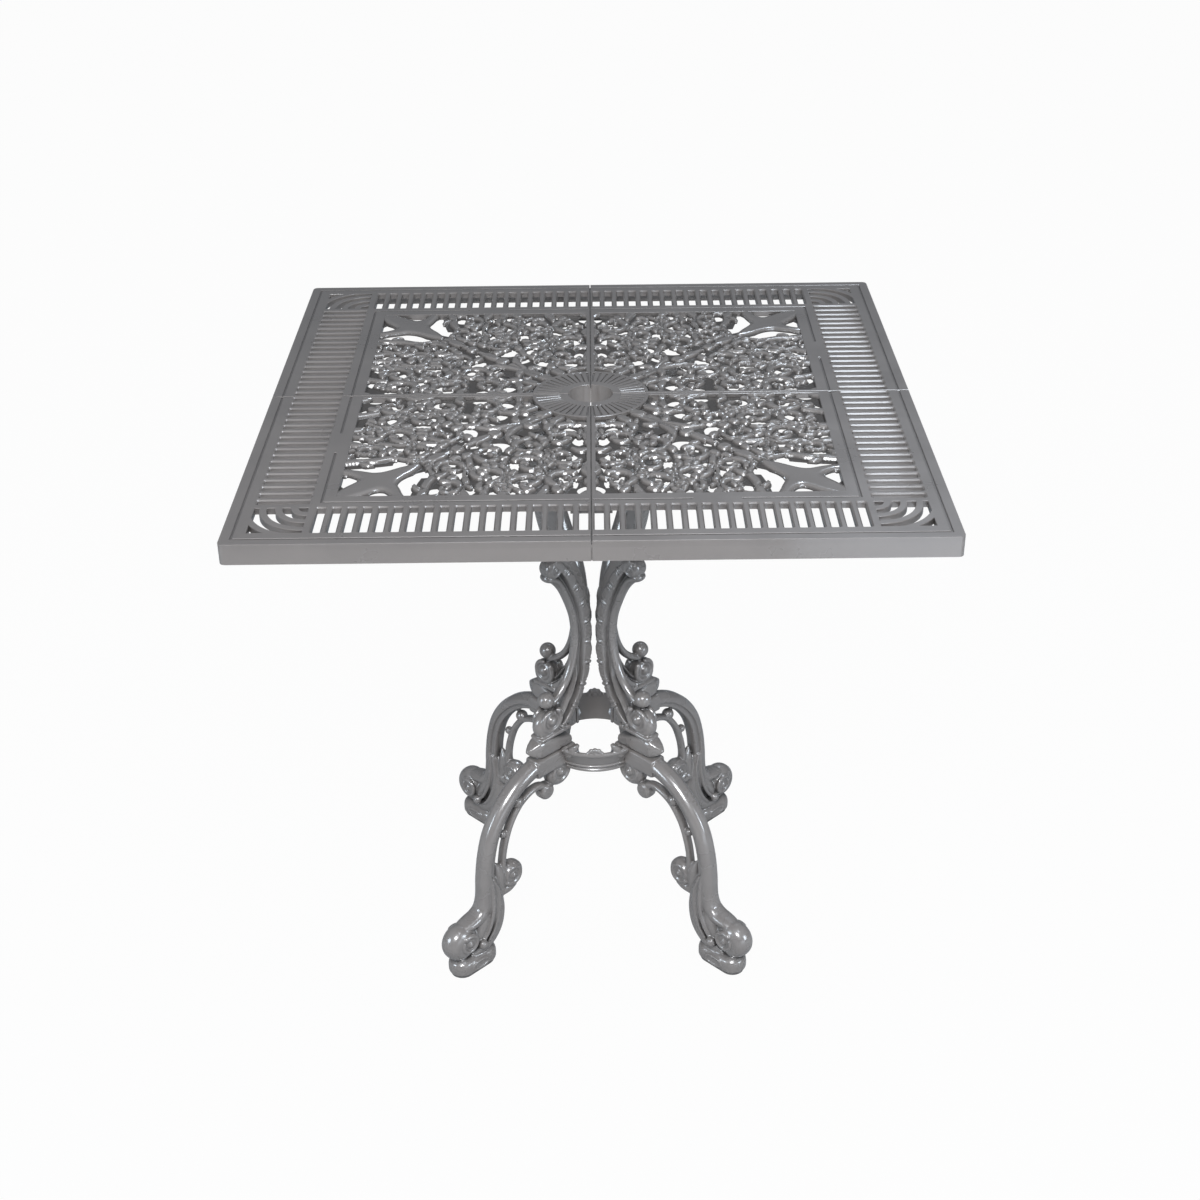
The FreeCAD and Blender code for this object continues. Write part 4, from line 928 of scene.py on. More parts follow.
def skin_rings(points):
    """Faces between rings of points, closed at both ends."""
    rings, around, _ = points.shape
    faces = []
    for i in range(rings - 1):
        for j in range(around):
            k = (j + 1) % around
            faces.append([i * around + j, i * around + k, (i + 1) * around + k, (i + 1) * around + j])
    faces.append(list(range(around))[::-1])
    faces.append([(rings - 1) * around + j for j in range(around)])
    return points.reshape(-1, 3), faces


def tube(rows, around=28, square=2.0, cap=True):
    """A closed tube through rows of (r, z, w, half size in the plane, half size across)."""
    rows = np.asarray(rows, dtype=float)
    centre = np.column_stack([rows[:, 0], rows[:, 2], rows[:, 1]])
    tangent = np.gradient(centre, axis=0)
    tangent /= np.linalg.norm(tangent, axis=1)[:, None]
    across = np.array([0.0, 1.0, 0.0]) - tangent * tangent[:, 1:2]
    across /= np.linalg.norm(across, axis=1)[:, None]
    inward = np.cross(across, tangent)
    sizes = rows[:, 3:5]
    if cap:
        first, last = [], []
        for index, sign, end, steps in ((0, -1, first, CAP_STEPS), (-1, 1, last, CAP_STEPS[::-1])):
            deep = min(sizes[index])
            for step in steps:
                end.append((centre[index] + sign * tangent[index] * deep * step, inward[index],
                            across[index], sizes[index] * math.sqrt(1 - step * step)))
        centre, inward, across, sizes = (
            np.vstack([[row[k] for row in first], middle, [row[k] for row in last]])
            for k, middle in enumerate((centre, inward, across, sizes)))
    angle = np.linspace(0, 2 * np.pi, around, endpoint=False)
    flat = np.sign(np.cos(angle)) * np.abs(np.cos(angle)) ** (2 / square)
    tall = np.sign(np.sin(angle)) * np.abs(np.sin(angle)) ** (2 / square)
    points = (centre[:, None, :] + inward[:, None, :] * (sizes[:, 0:1] * flat)[:, :, None]
              + across[:, None, :] * (sizes[:, 1:2] * tall)[:, :, None])
    return skin_rings(points)


print("a short tube has", len(tube([(0, 0, 0, 2, 2), (0, 9, 0, 2, 2)])[0]), "points")


# %% Turned shapes: rolls and balls
def turned(r, z, profile, around=48):
    """A shape turned about a line across the leg, from (w, radius) pairs."""
    angle = np.linspace(0, 2 * np.pi, around, endpoint=False)
    rings = [[(r + size * math.cos(a), w, z + size * math.sin(a)) for a in angle] for w, size in profile]
    return skin_rings(np.array(rings))


def barrel(r, z, radius, half, soft):
    """A roll with rounded rims, from one flank to the other."""
    steps = np.radians(np.linspace(85, 0, 7))
    right = [(half - soft + soft * math.sin(a), radius - soft + soft * math.cos(a)) for a in steps]
    left = [(-w, size) for w, size in right]
    return turned(r, z, left + right[::-1])


def ball(r, z, radius, w=0.0):
    steps = np.radians(np.linspace(-86, 86, 15))
    return turned(r, z, [(w + radius * math.sin(a), radius * math.cos(a)) for a in steps], 32)


print("a ball has", len(ball(0, 0, 5)[0]), "points")


# %% Spirals, and bars with a moulded section
def volute(r, z, large, small, start, turns, w, thick, eye, rise):
    """A spiral ridge on both flanks of a roll, and a domed eye that stands out as far as rise."""
    shares = np.linspace(0, 1, int(40 * abs(turns)) + 8)
    shapes = []
    for side in (-1, 1):
        rows = []
        for share in shares:
            angle = math.radians(start + 360 * turns * share)
            size = large + (small - large) * share ** 0.85
            rows.append((r + size * math.cos(angle), z + size * math.sin(angle), side * w,
                         thick * (1 - 0.35 * share), thick * (1 - 0.3 * share)))
        shapes.append(tube(rows, 14))
        shapes.append(ball(r, z, eye, side * (rise - eye)))
    return shapes


def follow(rows):
    """The outward direction at each row of a path in the plane of the leg, and the length so far."""
    tangent = np.gradient(rows[:, :2], axis=0)
    tangent /= np.linalg.norm(tangent, axis=1)[:, None]
    steps = np.linalg.norm(np.diff(rows[:, :2], axis=0), axis=1)
    return np.column_stack([-tangent[:, 1], tangent[:, 0]]), np.concatenate([[0], np.cumsum(steps)])


def moulded(rows, profile, samples=44):
    """A bar through rows of (r, z, width) whose half thickness is profile(u, width, length so far)."""
    outward, lengths = follow(rows)
    share = 0.5 - 0.5 * np.cos(np.pi * np.linspace(0, 1, samples) * 0.98 + 0.03)
    rings = []
    for i, (r, z, width) in enumerate(rows):
        u = share * width
        start, half = profile(u, width, lengths[i])
        place_u = start + u * (width - start) / width - width / 2
        r_line = r + outward[i, 0] * place_u
        z_line = z + outward[i, 1] * place_u
        near = np.column_stack([r_line, half, z_line])
        far = np.column_stack([r_line, -half, z_line])[::-1]
        rings.append(np.vstack([near, far]))
    return skin_rings(np.array(rings))


print("a spiral on both flanks has", len(volute(0, 0, 8, 6, 0, 0.9, 9, 3, 4, 12)), "shapes")


def cast(name, shapes, voxel, rounds=3, crop=None):
    """One closed skin round overlapping shapes, softened, and pressed flat at the levels of crop."""
    raw = make_mesh(name + "_parts", *join(shapes))
    piece = bpy.data.objects.new(name + "_parts", raw)
    bpy.context.scene.collection.objects.link(piece)
    remesh = piece.modifiers.new("fuse", "REMESH")
    remesh.mode = "VOXEL"
    remesh.voxel_size = voxel * MM * 1.0
    smooth = piece.modifiers.new("soften", "SMOOTH")
    smooth.factor = 0.5
    smooth.iterations = rounds
    seen = piece.evaluated_get(bpy.context.evaluated_depsgraph_get())
    mesh = bpy.data.meshes.new_from_object(seen)
    mesh.name = name
    bpy.data.objects.remove(piece)
    bpy.data.meshes.remove(raw)
    mesh.materials.clear()
    mesh.polygons.foreach_set("use_smooth", [True] * len(mesh.polygons))
    if crop:
        points = np.empty(len(mesh.vertices) * 3)
        mesh.vertices.foreach_get("co", points)
        points = points.reshape(-1, 3)
        low, high = crop
        points[:, 2] = np.clip(points[:, 2], low * MM, high * MM)
        mesh.vertices.foreach_set("co", points.ravel())
        mesh.update()
    print(name, "faces:", len(mesh.polygons))
    return mesh


# %% [markdown]
# ## Upper bracket
# The bracket is an S scroll. A thick band of overlapping leaves with a wavy inner
# edge runs from the high roll down to the low one, and lower down a strand runs
# beside it. A round nose follows the outer side, leaves the band below the waist
# and ends under a ball that sits on the low roll. A faceted block stands on the
# leg below. What the top hides is kept plain.

# %% Bracket profile: a thick band of leaves, and a strand beside it lower down
NODE_PITCH = 29.5


def leaf_band(u, width, length):
    """Half thickness of the leaf band at u from its inner edge."""
    along = (length + 2.0) % NODE_PITCH
    notch = abs(math.cos(math.pi * along / NODE_PITCH)) ** 3
    start = 0.2 + 2.0 * notch
    lower = min(max((length - 160.0) / 40.0, 0.0), 1.0)
    leaf_end = width * (1.0 - 0.34 * lower)
    x = np.clip(u / leaf_end, 0.0, 1.0)
    crown = 10.6 + 0.6 * np.sin(np.pi * np.clip(x * 0.9 + 0.1, 0.0, 1.0)) + 0.4 * (1.0 - notch)
    fall = np.clip((x - 0.66) / 0.20, 0.0, 1.0)
    fall = fall * fall * (3.0 - 2.0 * fall) * 8.0
    half = crown - fall
    strand = 5.4 + 2.2 * np.exp(-((u - leaf_end - 2.6) / 1.1) ** 2)
    strand = strand * np.sqrt(np.clip((width - u) / 2.6, 0.04, 1.0))
    half = np.where(u > leaf_end + 0.4, lower * strand + (1.0 - lower) * 3.4, half)
    return start, half * np.sqrt(np.clip(u / 0.7, 0.3, 1.0))


def plain_slab(u, width, length):
    soft = np.clip(np.minimum(u, width - u) / 2.0, 0.04, 1.0)
    return 0.0, 9.0 * np.sqrt(soft)


print("nodes of the leaf band are", NODE_PITCH, "mm apart")

# %% Bracket bars: leaf band, hidden upper slab and outer nose
leaf_rows = curve_through([
    (74, 536, 10), (65.5, 525.5, 13), (55, 511.5, 16), (45.4, 494.6, 17.8), (36.6, 476, 19.4),
    (29.6, 457, 20.4), (24.6, 436, 21.6), (22.7, 412, 18.8), (23.4, 391, 20.4), (27, 369, 21.2),
    (33.4, 349, 21), (41.4, 332.5, 20.4), (51, 318, 19.6), (61, 306.5, 17), (70, 299, 13)], 26)
slab_rows = curve_through([
    (97, 700, 34), (91, 672, 28), (85.5, 640, 24), (75, 590, 23), (60.5, 548, 23.5), (44, 512, 23),
    (30.6, 480, 20.5), (23.6, 440, 17.5), (21.6, 415, 14)], 12)
nose_rows = curve_through([
    (80, 513, 0, 5.4, 9.5), (68, 506, 0, 5.6, 8.5), (55.5, 490, 0, 5.4, 6.4), (43.6, 464, 0, 5.2, 6.0),
    (36, 440, 0, 5.0, 5.8), (33.4, 413, 0, 5.0, 5.8), (35.4, 394, 0, 5.0, 6.0), (40.0, 376, 0, 4.9, 6.0),
    (46.5, 361.5, 0, 4.8, 6.0), (55, 349, 0, 4.8, 6.0), (66, 339, 0, 4.8, 6.0), (77, 333, 0, 4.8, 5.8),
    (85, 331, 0, 4.6, 5.4)], 12)
bracket_shapes = [moulded(leaf_rows, leaf_band), moulded(slab_rows, plain_slab), tube(nose_rows, 28)]


def cross_ribs(rows, lengths, shift):
    """Short raised ribs across the leaf band, three at each node, on both flanks."""
    outward, so_far = follow(rows)
    shapes = []
    for node in lengths:
        for away, reach, thick in ((-5.2, 3.6, 1.2), (0.0, 4.4, 2.3), (5.2, 3.6, 1.2)):
            i = int(np.argmin(np.abs(so_far - node - away)))
            middle = rows[i, :2] + outward[i] * shift
            for side in (-1, 1):
                rib = []
                for t in (-1.0, -0.5, 0.0, 0.5, 1.0):
                    tall = 0.8 + 0.8 * thick * (1.0 - 0.5 * t * t)
                    rib.append((*(middle + outward[i] * reach * t), side * 10.4, thick, tall))
                shapes.append(tube(rib, 14))
    return shapes


bracket_shapes += cross_ribs(leaf_rows, np.arange(27.5, 150.0, NODE_PITCH), -1.6)
bracket_shapes += cross_ribs(leaf_rows, np.arange(175.0, 290.0, NODE_PITCH), -4.4)
print("bracket stations:", len(leaf_rows), "shapes:", len(bracket_shapes))

# %% Bracket rolls, ball, block and pad
low_roll = (86.0, 306.0)
low_eye = (85.0, 313.5)
high_roll = (72.5, 524.0)
bracket_shapes += [barrel(*low_roll, 20.8, 9.6, 9.0), barrel(*high_roll, 12.0, 10.6, 6.0)]
bracket_shapes += volute(*low_eye, 15.6, 13.0, 140, 0.85, 8.0, 4.3, 7.6, 14.8)
bracket_shapes += volute(*high_roll, 8.4, 7.0, 100, 0.9, 9.0, 3.0, 3.8, 12.6)
bracket_shapes.append(ball(low_roll[0], 340.3, 10.8))
bracket_shapes.append(tube([
    (52, 269.4, 0, 6.6, 10.6), (64, 271.4, 0, 8.4, 11.4), (78, 274.8, 0, 11.8, 12.0),
    (90, 276.6, 0, 13.4, 12.0), (101, 276.8, 0, 13.2, 12.0), (106.5, 277.0, 0, 12.2, 11.2),
    (114, 277.4, 0, 8.0, 7.8), (119, 277.8, 0, 4.2, 4.4), (121.6, 278.0, 0, 1.6, 1.8)],
    square=3.4, cap=False))
bracket_shapes.append(tube([
    (56, 292, 0, 4, 12.4), (84, 292, 0, 4, 12.6), (103, 290.4, 0, 3, 11.2)], square=3.0))
bracket_shapes.append(tube([
    (42, 719.2, 0, 2.9, 17), (44, 719.2, 0, 3.1, 20.2), (93, 719.2, 0, 3.1, 20.6),
    (142, 719.2, 0, 3.1, 20.2), (144, 719.2, 0, 2.9, 17)], square=9.0, cap=False))
bracket_shapes.append(tube([(60, 716, 0, 4, 4), (88, 690, 0, 12, 4), (93, 672, 0, 14, 4)], square=4.0))
bracket_shapes.append(tube([(130, 716, 0, 4, 4), (106, 696, 0, 12, 4), (97, 680, 0, 14, 4)], square=4.0))
bracket_mesh = cast("upper_bracket", bracket_shapes, 0.8, rounds=2, crop=(JOINT + 0.2, UNDERSIDE - 0.05))
for quarter, turn in PANEL_TURNS.items():
    place(bracket_mesh, f"bracket_{quarter}", turn + 45, leg_grey_lightened, f"upper_bracket_{quarter}")
print("brackets placed:", len(PANEL_TURNS))

# %% [markdown]
# ## Lower leg
# The leg starts flat under the bracket, runs out and bends down like a knee. A thin
# rail with two beads follows its inner side, between a small knob and the calf
# roll. At the foot the leg parts into a cuff that lies over the toe scroll and a
# broad heel leaf that sweeps down to the base block.

# %% Leg profile and main rib
def rib_profile(u, width, length):
    fold = np.clip((length - 235.0) / 60.0, 0.0, 1.0)
    outer = np.clip(u / width, 0.0, 1.0)
    bead_start = 0.40
    bead = np.clip((outer - bead_start) / (1 - bead_start), 0.0, 1.0)
    round_part = 12.0 * np.sqrt(np.clip(1.0 - (bead * 1.25 - 0.3) ** 2, 0.02, 1.0))
    web_part = 8.6 + 1.2 * np.cos(np.clip(outer / bead_start, 0, 1) * math.pi * 2) * 0.35
    web_part = web_part * np.sqrt(np.clip(u / 2.4, 0.06, 1.0))
    half = np.where(outer < bead_start, web_part, round_part)
    plain = 12.2 * np.sqrt(np.clip(1.0 - (2 * outer - 1) ** 2, 0.03, 1.0))
    lines = 1.1 * fold * np.cos(outer * 17.0)
    return 0.0, half * (1 - fold) + (plain + lines) * fold


leg_rows = curve_through([
    (56, 250, 25), (78, 251, 25), (98, 251, 24.5), (120, 247.5, 22.5), (145, 235.5, 22), (169, 214.5, 22),
    (187, 188, 22), (197, 157, 22), (201.5, 124, 23), (202, 98, 24), (205, 82, 22),
], 20)
leg_shapes = [moulded(leg_rows, rib_profile)]
print("leg stations:", len(leg_rows))

# %% Leg rail, beads and rolls
rail = curve_through([
    (93, 207, 0, 4.6, 6.5), (98, 216, 0, 4.6, 6.5), (110, 219.5, 0, 4.4, 6.2), (125, 216, 0, 4.4, 6.2),
    (141, 206, 0, 4.4, 6.2), (156, 186, 0, 4.2, 6.0), (166, 161, 0, 4.2, 6.0), (170.5, 140, 0, 4.2, 6.0),
    (171, 126, 0, 4.6, 6.6), (166, 115, 0, 5.0, 8.0)], 10)
leg_shapes.append(tube(rail, 24, square=2.4))
knob = (93, 206.5)
knee_roll, knee_eye = (71, 227), (72, 229)
calf_roll, calf_eye = (159, 111), (160, 112)
leg_shapes += [barrel(*knob, 11.4, 8.8, 5.4), ball(141, 213.4, 8.2), ball(168.5, 177, 5.6)]
leg_shapes += volute(*knob, 7.0, 5.4, 70, 0.8, 6.8, 2.2, 3.0, 9.4)
leg_shapes += [barrel(*knee_roll, 19.8, 10.0, 8.5), barrel(*calf_roll, 18.4, 9.4, 8.0)]
leg_shapes += volute(*knee_eye, 14.6, 11.6, 100, 0.88, 8.2, 4.1, 6.2, 14.0)
leg_shapes += volute(*calf_eye, 13.4, 10.4, -40, -0.95, 7.6, 3.9, 5.4, 12.8)
leg_shapes.append(tube(curve_through([
    (186, 96, 0, 8, 11), (176, 94, 0, 7, 11), (166, 94, 0, 6, 11), (156, 95, 0, 4, 9)], 8), square=2.6))
leg_shapes.append(tube([
    (184, 138, 0, 2, 2.5), (181, 130, 0, 7, 6.0), (179, 121, 0, 10, 8.6), (179, 112, 0, 11, 9.6),
    (180, 100, 0, 9, 9.8)], 24))
leg_shapes.append(tube([
    (45.5, 250, 0, 11.5, 11.0), (52, 250, 0, 12.6, 11.8), (113, 250, 0, 12.4, 11.9)], square=7.0, cap=False))
print("leg shapes:", len(leg_shapes))

# %% Foot: cuff, heel leaf and toe scroll
cuff = curve_through([
    (202, 112, 0, 11.5, 12), (204, 94, 0, 11.5, 12), (210, 80, 0, 10.0, 12.6), (220, 73, 0, 8.5, 13.2),
    (231, 70.5, 0, 7.4, 13.4), (241, 69.5, 0, 6.0, 12.0), (250, 68, 0, 4.6, 8.5)], 10)
leg_shapes.append(tube(cuff, 34, square=2.3))
heel = curve_through([
    (196, 118, 0, 9, 11), (191, 98, 0, 11.5, 13), (189.5, 74, 0, 13.5, 14.5), (194, 52, 0, 13, 15.5),
    (205, 36, 0, 11, 15.5), (218, 28, 0, 8.5, 14.5), (234, 24, 0, 6, 12)], 10)
leg_shapes.append(tube(heel, 34, square=2.5))
leg_shapes.append(tube([
    (203, 96, 0, 9, 10), (207, 80, 0, 11, 11.6), (213, 64, 0, 13, 14.0), (224, 48, 0, 12, 14.4)], 24))
for side in (-1, 1):
    for shift, drop, thick in ((0.0, 0.0, 2.6), (9.5, -4.0, 2.2)):
        fold = curve_through([
            (200 - shift * 0.5, 128 + drop, side * 9.6, thick, thick),
            (198 - shift, 104 + drop, side * 12.0, thick + 0.6, thick),
            (201 - shift, 78 + drop, side * 13.8, thick + 0.8, thick),
            (210 - shift, 56 + drop, side * 14.8, thick + 0.4, thick),
            (221 - shift, 42 + drop, side * 14.6, thick, thick)], 8)
        leg_shapes.append(tube(fold, 16))
    leg_shapes.append(ball(224, 40, 6.6, side * 16.4))
    rim_line = []
    for turn in np.linspace(0, 2 * math.pi, 49):
        reach = math.copysign(abs(math.cos(turn)) ** 0.6, math.cos(turn))
        rim_line.append((FOOT + 13.0 * reach, 12.4 + 5.6 * math.sin(turn), side * 17.5, 1.9, 1.9))
    leg_shapes.append(tube(rim_line, 12))
toe_roll, toe_hub, toe_eye = (249, 50), (240, 52), (244, 51)
leg_shapes += [barrel(*toe_roll, 24.6, 15.6, 14.6), barrel(*toe_hub, 9.0, 16.6, 3.5)]
leg_shapes += volute(*toe_eye, 12.4, 10.4, 60, 0.9, 15.4, 3.5, 5.2, 19.2)
print("leg shapes with the foot:", len(leg_shapes))

# %% Base block: rings with half-round ends, rounded in at the bottom and the top
BLOCK_LEVELS = (
    (2.0, 4.0), (0.6, 4.8), (0.0, 7.0), (0.0, 14.5), (0.6, 18.0), (1.8, 20.4), (4.2, 22.6), (8.0, 25.0))
angles = np.linspace(0, 2 * np.pi, 72, endpoint=False)


def foot_ring(inset, level):
    deep = FOOT_WIDTH / 2 - inset
    reach = FOOT_LENGTH / 2 - inset - deep
    along = FOOT + np.where(np.cos(angles) > 0, reach, -reach) + deep * np.cos(angles)
    return np.column_stack([along, deep * np.sin(angles), np.full(len(angles), level)])


leg_shapes.append(skin_rings(np.array([foot_ring(inset, level) for inset, level in BLOCK_LEVELS])))
leg_mesh = cast("lower_leg", leg_shapes, 0.95, crop=(GLIDE_HEIGHT, JOINT - 0.05))
for quarter, turn in PANEL_TURNS.items():
    place(leg_mesh, f"leg_{quarter}", turn + 45, leg_grey_lightened, f"lower_leg_{quarter}")
print("legs placed:", len(PANEL_TURNS))

# %% [markdown]
# ## Ring
# Four bands join the legs. Each is a flared strip with a double lip below, a small
# scallop-shaped crown in the middle of its upper edge and two pointed leaves on each
# side of it. The band stops short of the leg's flanks, so a joint shows at each leg,
# and a flat tab at each of its ends lies along the leg's flank for the ring's bolt.

# %% Strip of the ring band
BAND_SECTION = (
    (62.5, 233.4), (64.4, 233.0), (66.2, 234.6), (66.4, 236.6), (64.6, 238.2), (64.6, 239.2), (67.0, 240.6),
    (67.4, 242.4), (66.0, 244.0), (67.6, 248.0), (70.4, 255.0), (72.4, 259.2), (74.6, 261.4), (75.2, 263.8),
    (74.6, 266.0), (72.8, 266.8), (70.6, 266.0), (68.2, 259.0), (63.6, 246.6), (60.0, 238.0), (58.2, 233.8))
LEG_CLEARANCE = 12.35


def strip():
    """The section turned from one leg to the next, a little clear of their flanks."""
    rings = []
    for share in np.linspace(0, 1, 61):
        ring = []
        for r, z in BAND_SECTION:
            start = math.asin(LEG_CLEARANCE / r)
            angle = start + (math.pi / 2 - 2 * start) * share
            ring.append((r * math.cos(angle), r * math.sin(angle), z))
        rings.append(ring)
    return skin_rings(np.array(rings))


print("points of the ring's strip:", len(strip()[0]))

# %% Crown and leaves of the ring
BAND_MIDDLE = math.radians(45)
CROWN_RADIUS = 71.6
CROWN_LEANS = (-72, -36, 0, 36, 72)
RING_LEAVES = (
    (71.6, ((28, 256, 3.6, 2.6), (25.5, 263.5, 6.2, 3.4), (22.5, 269.5, 5.8, 3.3), (19.2, 274.6, 3.8, 2.5),
            (16.8, 277.8, 1.2, 1.1))),
    (71.8, ((35, 261, 2.6, 2.2), (32.2, 267.4, 4.4, 2.8), (29.4, 272, 1.6, 1.3))),
)


def upright(rows, around=16):
    """A tube through rows of (x, y, z, half along the ring, half through it)."""
    rings = []
    for x, y, z, along, through in rows:
        middle = np.array([x, y, z])
        outward = np.array([x, y, 0.0]) / math.hypot(x, y)
        beside = np.array([-outward[1], outward[0], 0.0])
        rings.append([middle + beside * along * math.cos(angle) + outward * through * math.sin(angle)
                      for angle in np.linspace(0, 2 * np.pi, around, endpoint=False)])
    return skin_rings(np.array(rings))


def crown():
    """A round lobe with five smaller ones fanned over it."""
    lobes = [(0.0, 265.2, 4.6, 3.4)]
    for lean in CROWN_LEANS:
        around = math.radians(lean)
        lobes.append((8.0 * math.sin(around), 263.4 + 7.2 * math.cos(around), 3.5, 2.9))
    shapes = []
    for along, level, size, through in lobes:
        turn = BAND_MIDDLE + along / 71.0
        x, y = CROWN_RADIUS * math.cos(turn), CROWN_RADIUS * math.sin(turn)
        rows = []
        for t in np.radians(np.linspace(-84, 84, 11)):
            rows.append((x, y, level + size * math.sin(t),
                         size * math.cos(t) + 0.05, through * math.cos(t) + 0.05))
        shapes.append(upright(rows))
    return shapes


def ring_leaves():
    """Two pointed leaves on each side of the crown, from their root to their tip."""
    shapes = []
    for way in (-1, 1):
        for radius, stations in RING_LEAVES:
            rows = []
            for degrees, level, along, through in stations:
                turn = BAND_MIDDLE + way * math.radians(degrees)
                rows.append((radius * math.cos(turn), radius * math.sin(turn), level, along, through))
            shapes.append(upright(rows))
    return shapes


print("lobes:", len(crown()), "leaves:", len(ring_leaves()))

# %% Tabs of the ring, and the four bands
TAB_REACH = (45.2, 62.5)
TAB_FLANKS = (12.05, 15.9)
TAB_LEVELS = (238.2, 250.0, 261.8)


def tab(flip):
    """A flat tab along one leg's flank; flip gives the one at the other end."""
    (near, far), (inner, outer) = TAB_REACH, TAB_FLANKS
    corners = np.array([(near, inner), (far, inner), (far, outer), (near, outer)])
    if flip:
        corners = corners[::-1, ::-1]
    rings = [np.column_stack([corners, np.full(4, level)]) for level in TAB_LEVELS]
    return skin_rings(np.array(rings))


band_shapes = [strip()] + crown() + ring_leaves() + [tab(False), tab(True)]
band_mesh = cast("ring_band", band_shapes, 0.6, rounds=2)
for side, turn in BAND_TURNS.items():
    place(band_mesh, f"ring_{side}", turn, leg_grey_lightened, f"ring_band_{side}")
print("ring bands placed:", len(BAND_TURNS))

# %% [markdown]
# ## Plain pieces
# Glides, seam ties, screws, studs and nuts are simple turned or flat shapes, and the
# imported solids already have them. They keep their meshes and get a finish each.

# %% Finish the solids that stay
def refinish(name, material):
    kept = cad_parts[name]
    kept.data.materials.clear()
    kept.data.materials.append(material)


for quarter in PANEL_TURNS:
    refinish(f"glide_{quarter}", foot_grey)
for side in BAND_TURNS:
    refinish(f"seam_tie_{side}", foot_grey)
small_steel = [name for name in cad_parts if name.split("_")[-1] in
               ("screws", "studs", "nuts", "washers", "dowels", "bolts")]
for name in small_steel:
    refinish(name, zinc)
print("kept solids:", len(PANEL_TURNS) + len(BAND_TURNS) + len(small_steel))

# %% [markdown]
# ## Light, floor and camera
# The light is a plain studio: a large soft key lamp behind and above the camera, one
# lamp overhead to the right, a cool window on each side, a small lamp far behind that
# puts glints on the scrollwork, and a card on the floor that brightens slat flanks.
# The world is dim below and brighter above. The floor and the world look white to
# the camera only, so the table's grey is lit by the lamps and not by the background.

# %% World and lamps
scene = bpy.context.scene
world = bpy.data.worlds.new("studio")
scene.world = world
world.use_nodes = True
tree = world.node_tree
background = tree.nodes["Background"]
where = tree.nodes.new("ShaderNodeTexCoord")
axes = tree.nodes.new("ShaderNodeSeparateXYZ")
tree.links.new(where.outputs["Generated"], axes.inputs[0])
climb = ramp(tree, axes.outputs[2], -0.05, 0.85, bottom=0.05, top=0.30)
tree.links.new(climb, background.inputs["Strength"])
background.inputs["Color"].default_value = (0.80, 0.89, 1.0, 1.0)
white = tree.nodes.new("ShaderNodeBackground")
white.inputs["Color"].default_value = (1.0, 1.0, 1.0, 1.0)
white.inputs["Strength"].default_value = 1.0
path = tree.nodes.new("ShaderNodeLightPath")
chosen = tree.nodes.new("ShaderNodeMixShader")
tree.links.new(path.outputs["Is Camera Ray"], chosen.inputs[0])
tree.links.new(background.outputs[0], chosen.inputs[1])
tree.links.new(white.outputs[0], chosen.inputs[2])
tree.links.new(chosen.outputs[0], tree.nodes["World Output"].inputs["Surface"])


def add_lamp(name, place_m, aim_m, size, power, colour):
    data = bpy.data.lights.new(name, "AREA")
    data.shape = "DISK"
    data.size = size
    data.energy = power
    data.color = colour
    lamp = bpy.data.objects.new(name, data)
    scene.collection.objects.link(lamp)
    lamp.location = place_m
    lamp.rotation_euler = (Vector(aim_m) - Vector(place_m)).to_track_quat("-Z", "Y").to_euler()


add_lamp("key", (-0.15, -2.35, 2.5), (0, 0, 0.5), 1.1, 90.0, (0.96, 0.97, 1.0))
add_lamp("overhead", (0.72, -0.78, 2.8), (0.1, 0, 0.7), 0.8, 17.0, (0.84, 0.91, 1.0))
add_lamp("left window", (-2.2, -1.2, 1.0), (0, 0, 0.3), 0.9, 25.0, (0.80, 0.90, 1.0))
add_lamp("right window", (2.2, -1.3, 1.0), (0, 0, 0.3), 0.9, 28.0, (0.82, 0.91, 1.0))
add_lamp("far sky", (0.8, 2.2, 3.3), (0.1, 0, 0.7), 0.6, 24.0, (0.80, 0.89, 1.0))
add_lamp("floor card", (0.95, -1.5, 0.03), (0.35, 0, 0.72), 1.1, 5.0, (0.82, 0.90, 1.0))

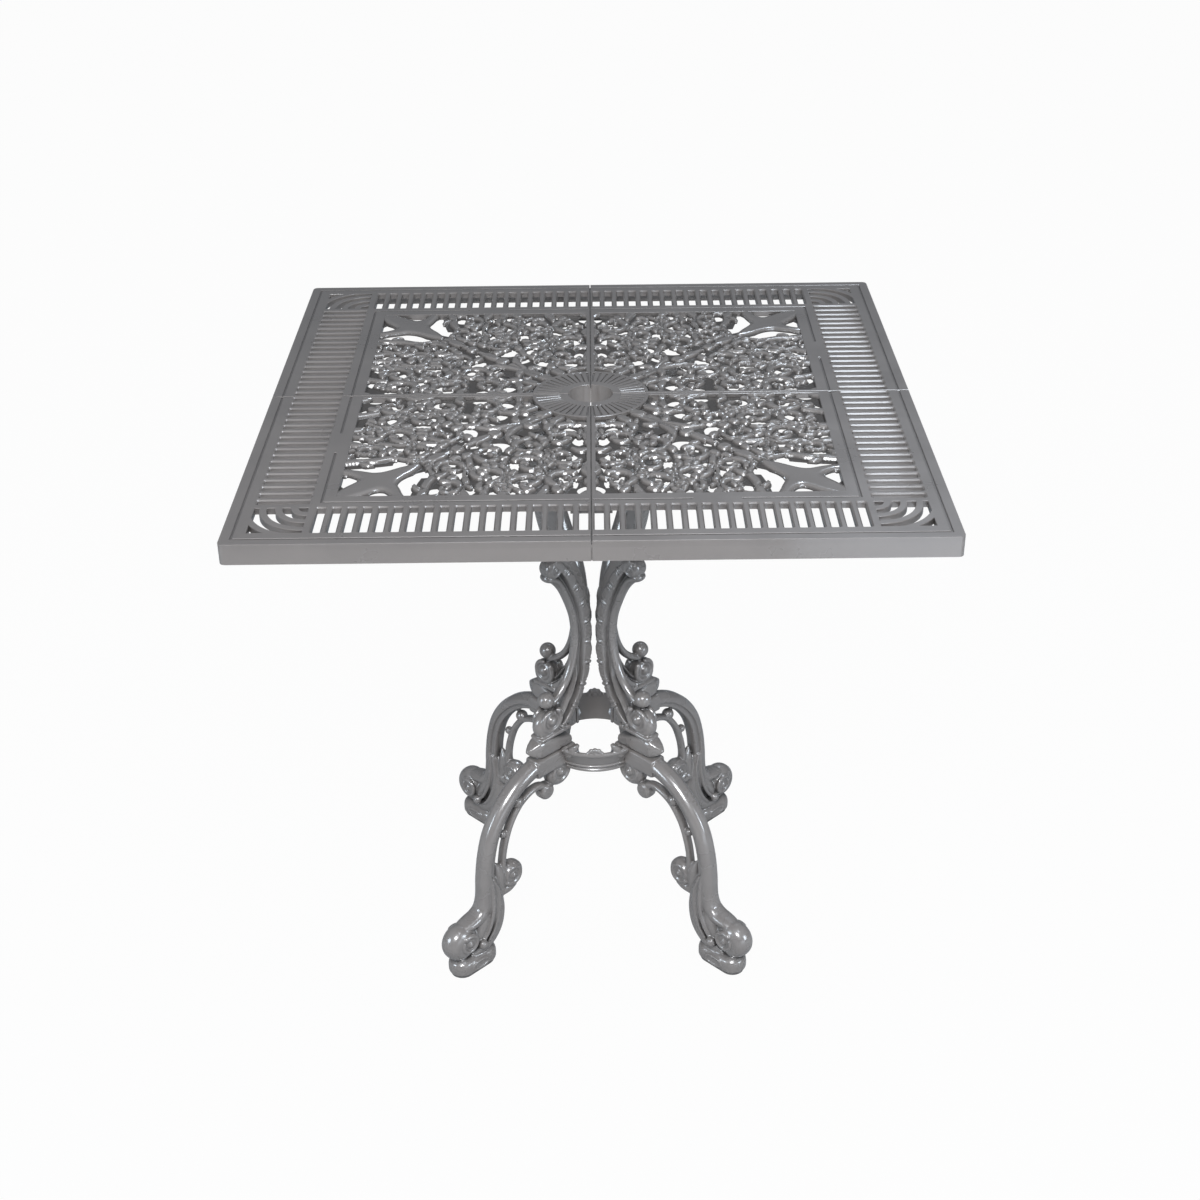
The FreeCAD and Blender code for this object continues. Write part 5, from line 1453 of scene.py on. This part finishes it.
# %% Floor that stays white to the camera and keeps a soft shadow
FLOOR_REACH = 40
FLOOR_LEVEL = -0.0003
corners = [(x * FLOOR_REACH, y * FLOOR_REACH, FLOOR_LEVEL) for x, y in ((-1, -1), (1, -1), (1, 1), (-1, 1))]
floor_mesh = bpy.data.meshes.new("floor")
floor_mesh.from_pydata(corners, [], [(0, 1, 2, 3)])
floor = bpy.data.objects.new("floor", floor_mesh)
scene.collection.objects.link(floor)
floor_material = bpy.data.materials.new("pale_floor")
floor_material.use_nodes = True
floor_tree = floor_material.node_tree
floor_shader = floor_tree.nodes["Principled BSDF"]
floor_shader.inputs["Base Color"].default_value = (0.32, 0.32, 0.32, 1.0)
floor_shader.inputs["Roughness"].default_value = 0.9
glow = floor_tree.nodes.new("ShaderNodeEmission")
glow.inputs["Strength"].default_value = 1.0
floor_path = floor_tree.nodes.new("ShaderNodeLightPath")
floor_mix = floor_tree.nodes.new("ShaderNodeMixShader")
seen_share = math_node(floor_tree, "MULTIPLY", floor_path.outputs["Is Camera Ray"], 0.97)
floor_tree.links.new(seen_share, floor_mix.inputs[0])
floor_tree.links.new(floor_shader.outputs[0], floor_mix.inputs[1])
floor_tree.links.new(glow.outputs[0], floor_mix.inputs[2])
floor_tree.links.new(floor_mix.outputs[0], floor_tree.nodes["Material Output"].inputs["Surface"])
floor_mesh.materials.append(floor_material)
print("floor:", floor.name)

# %% [markdown]
# The camera stands in front, a little above the table, and looks down by 29.5 degrees
# with a slightly long lens, so the top shows whole and the legs show below its edge.

# %% Camera
camera_data = bpy.data.cameras.new("camera")
camera_data.sensor_width = 36.0
camera_data.lens = 54.3
camera = bpy.data.objects.new("camera", camera_data)
scene.collection.objects.link(camera)
camera.location = (0.0047, -1.9776, 1.5687)
pitch, yaw, roll = math.radians(29.50), math.radians(0.11), math.radians(-0.59)
look = Vector((math.sin(yaw) * math.cos(pitch), math.cos(yaw) * math.cos(pitch), -math.sin(pitch)))
camera.rotation_mode = "QUATERNION"
camera.rotation_quaternion = look.to_track_quat("-Z", "Y") @ Matrix.Rotation(roll, 3, "Z").to_quaternion()
scene.camera = camera
scene.view_settings.view_transform = "Standard"
print("camera at", [round(v, 3) for v in camera.location])
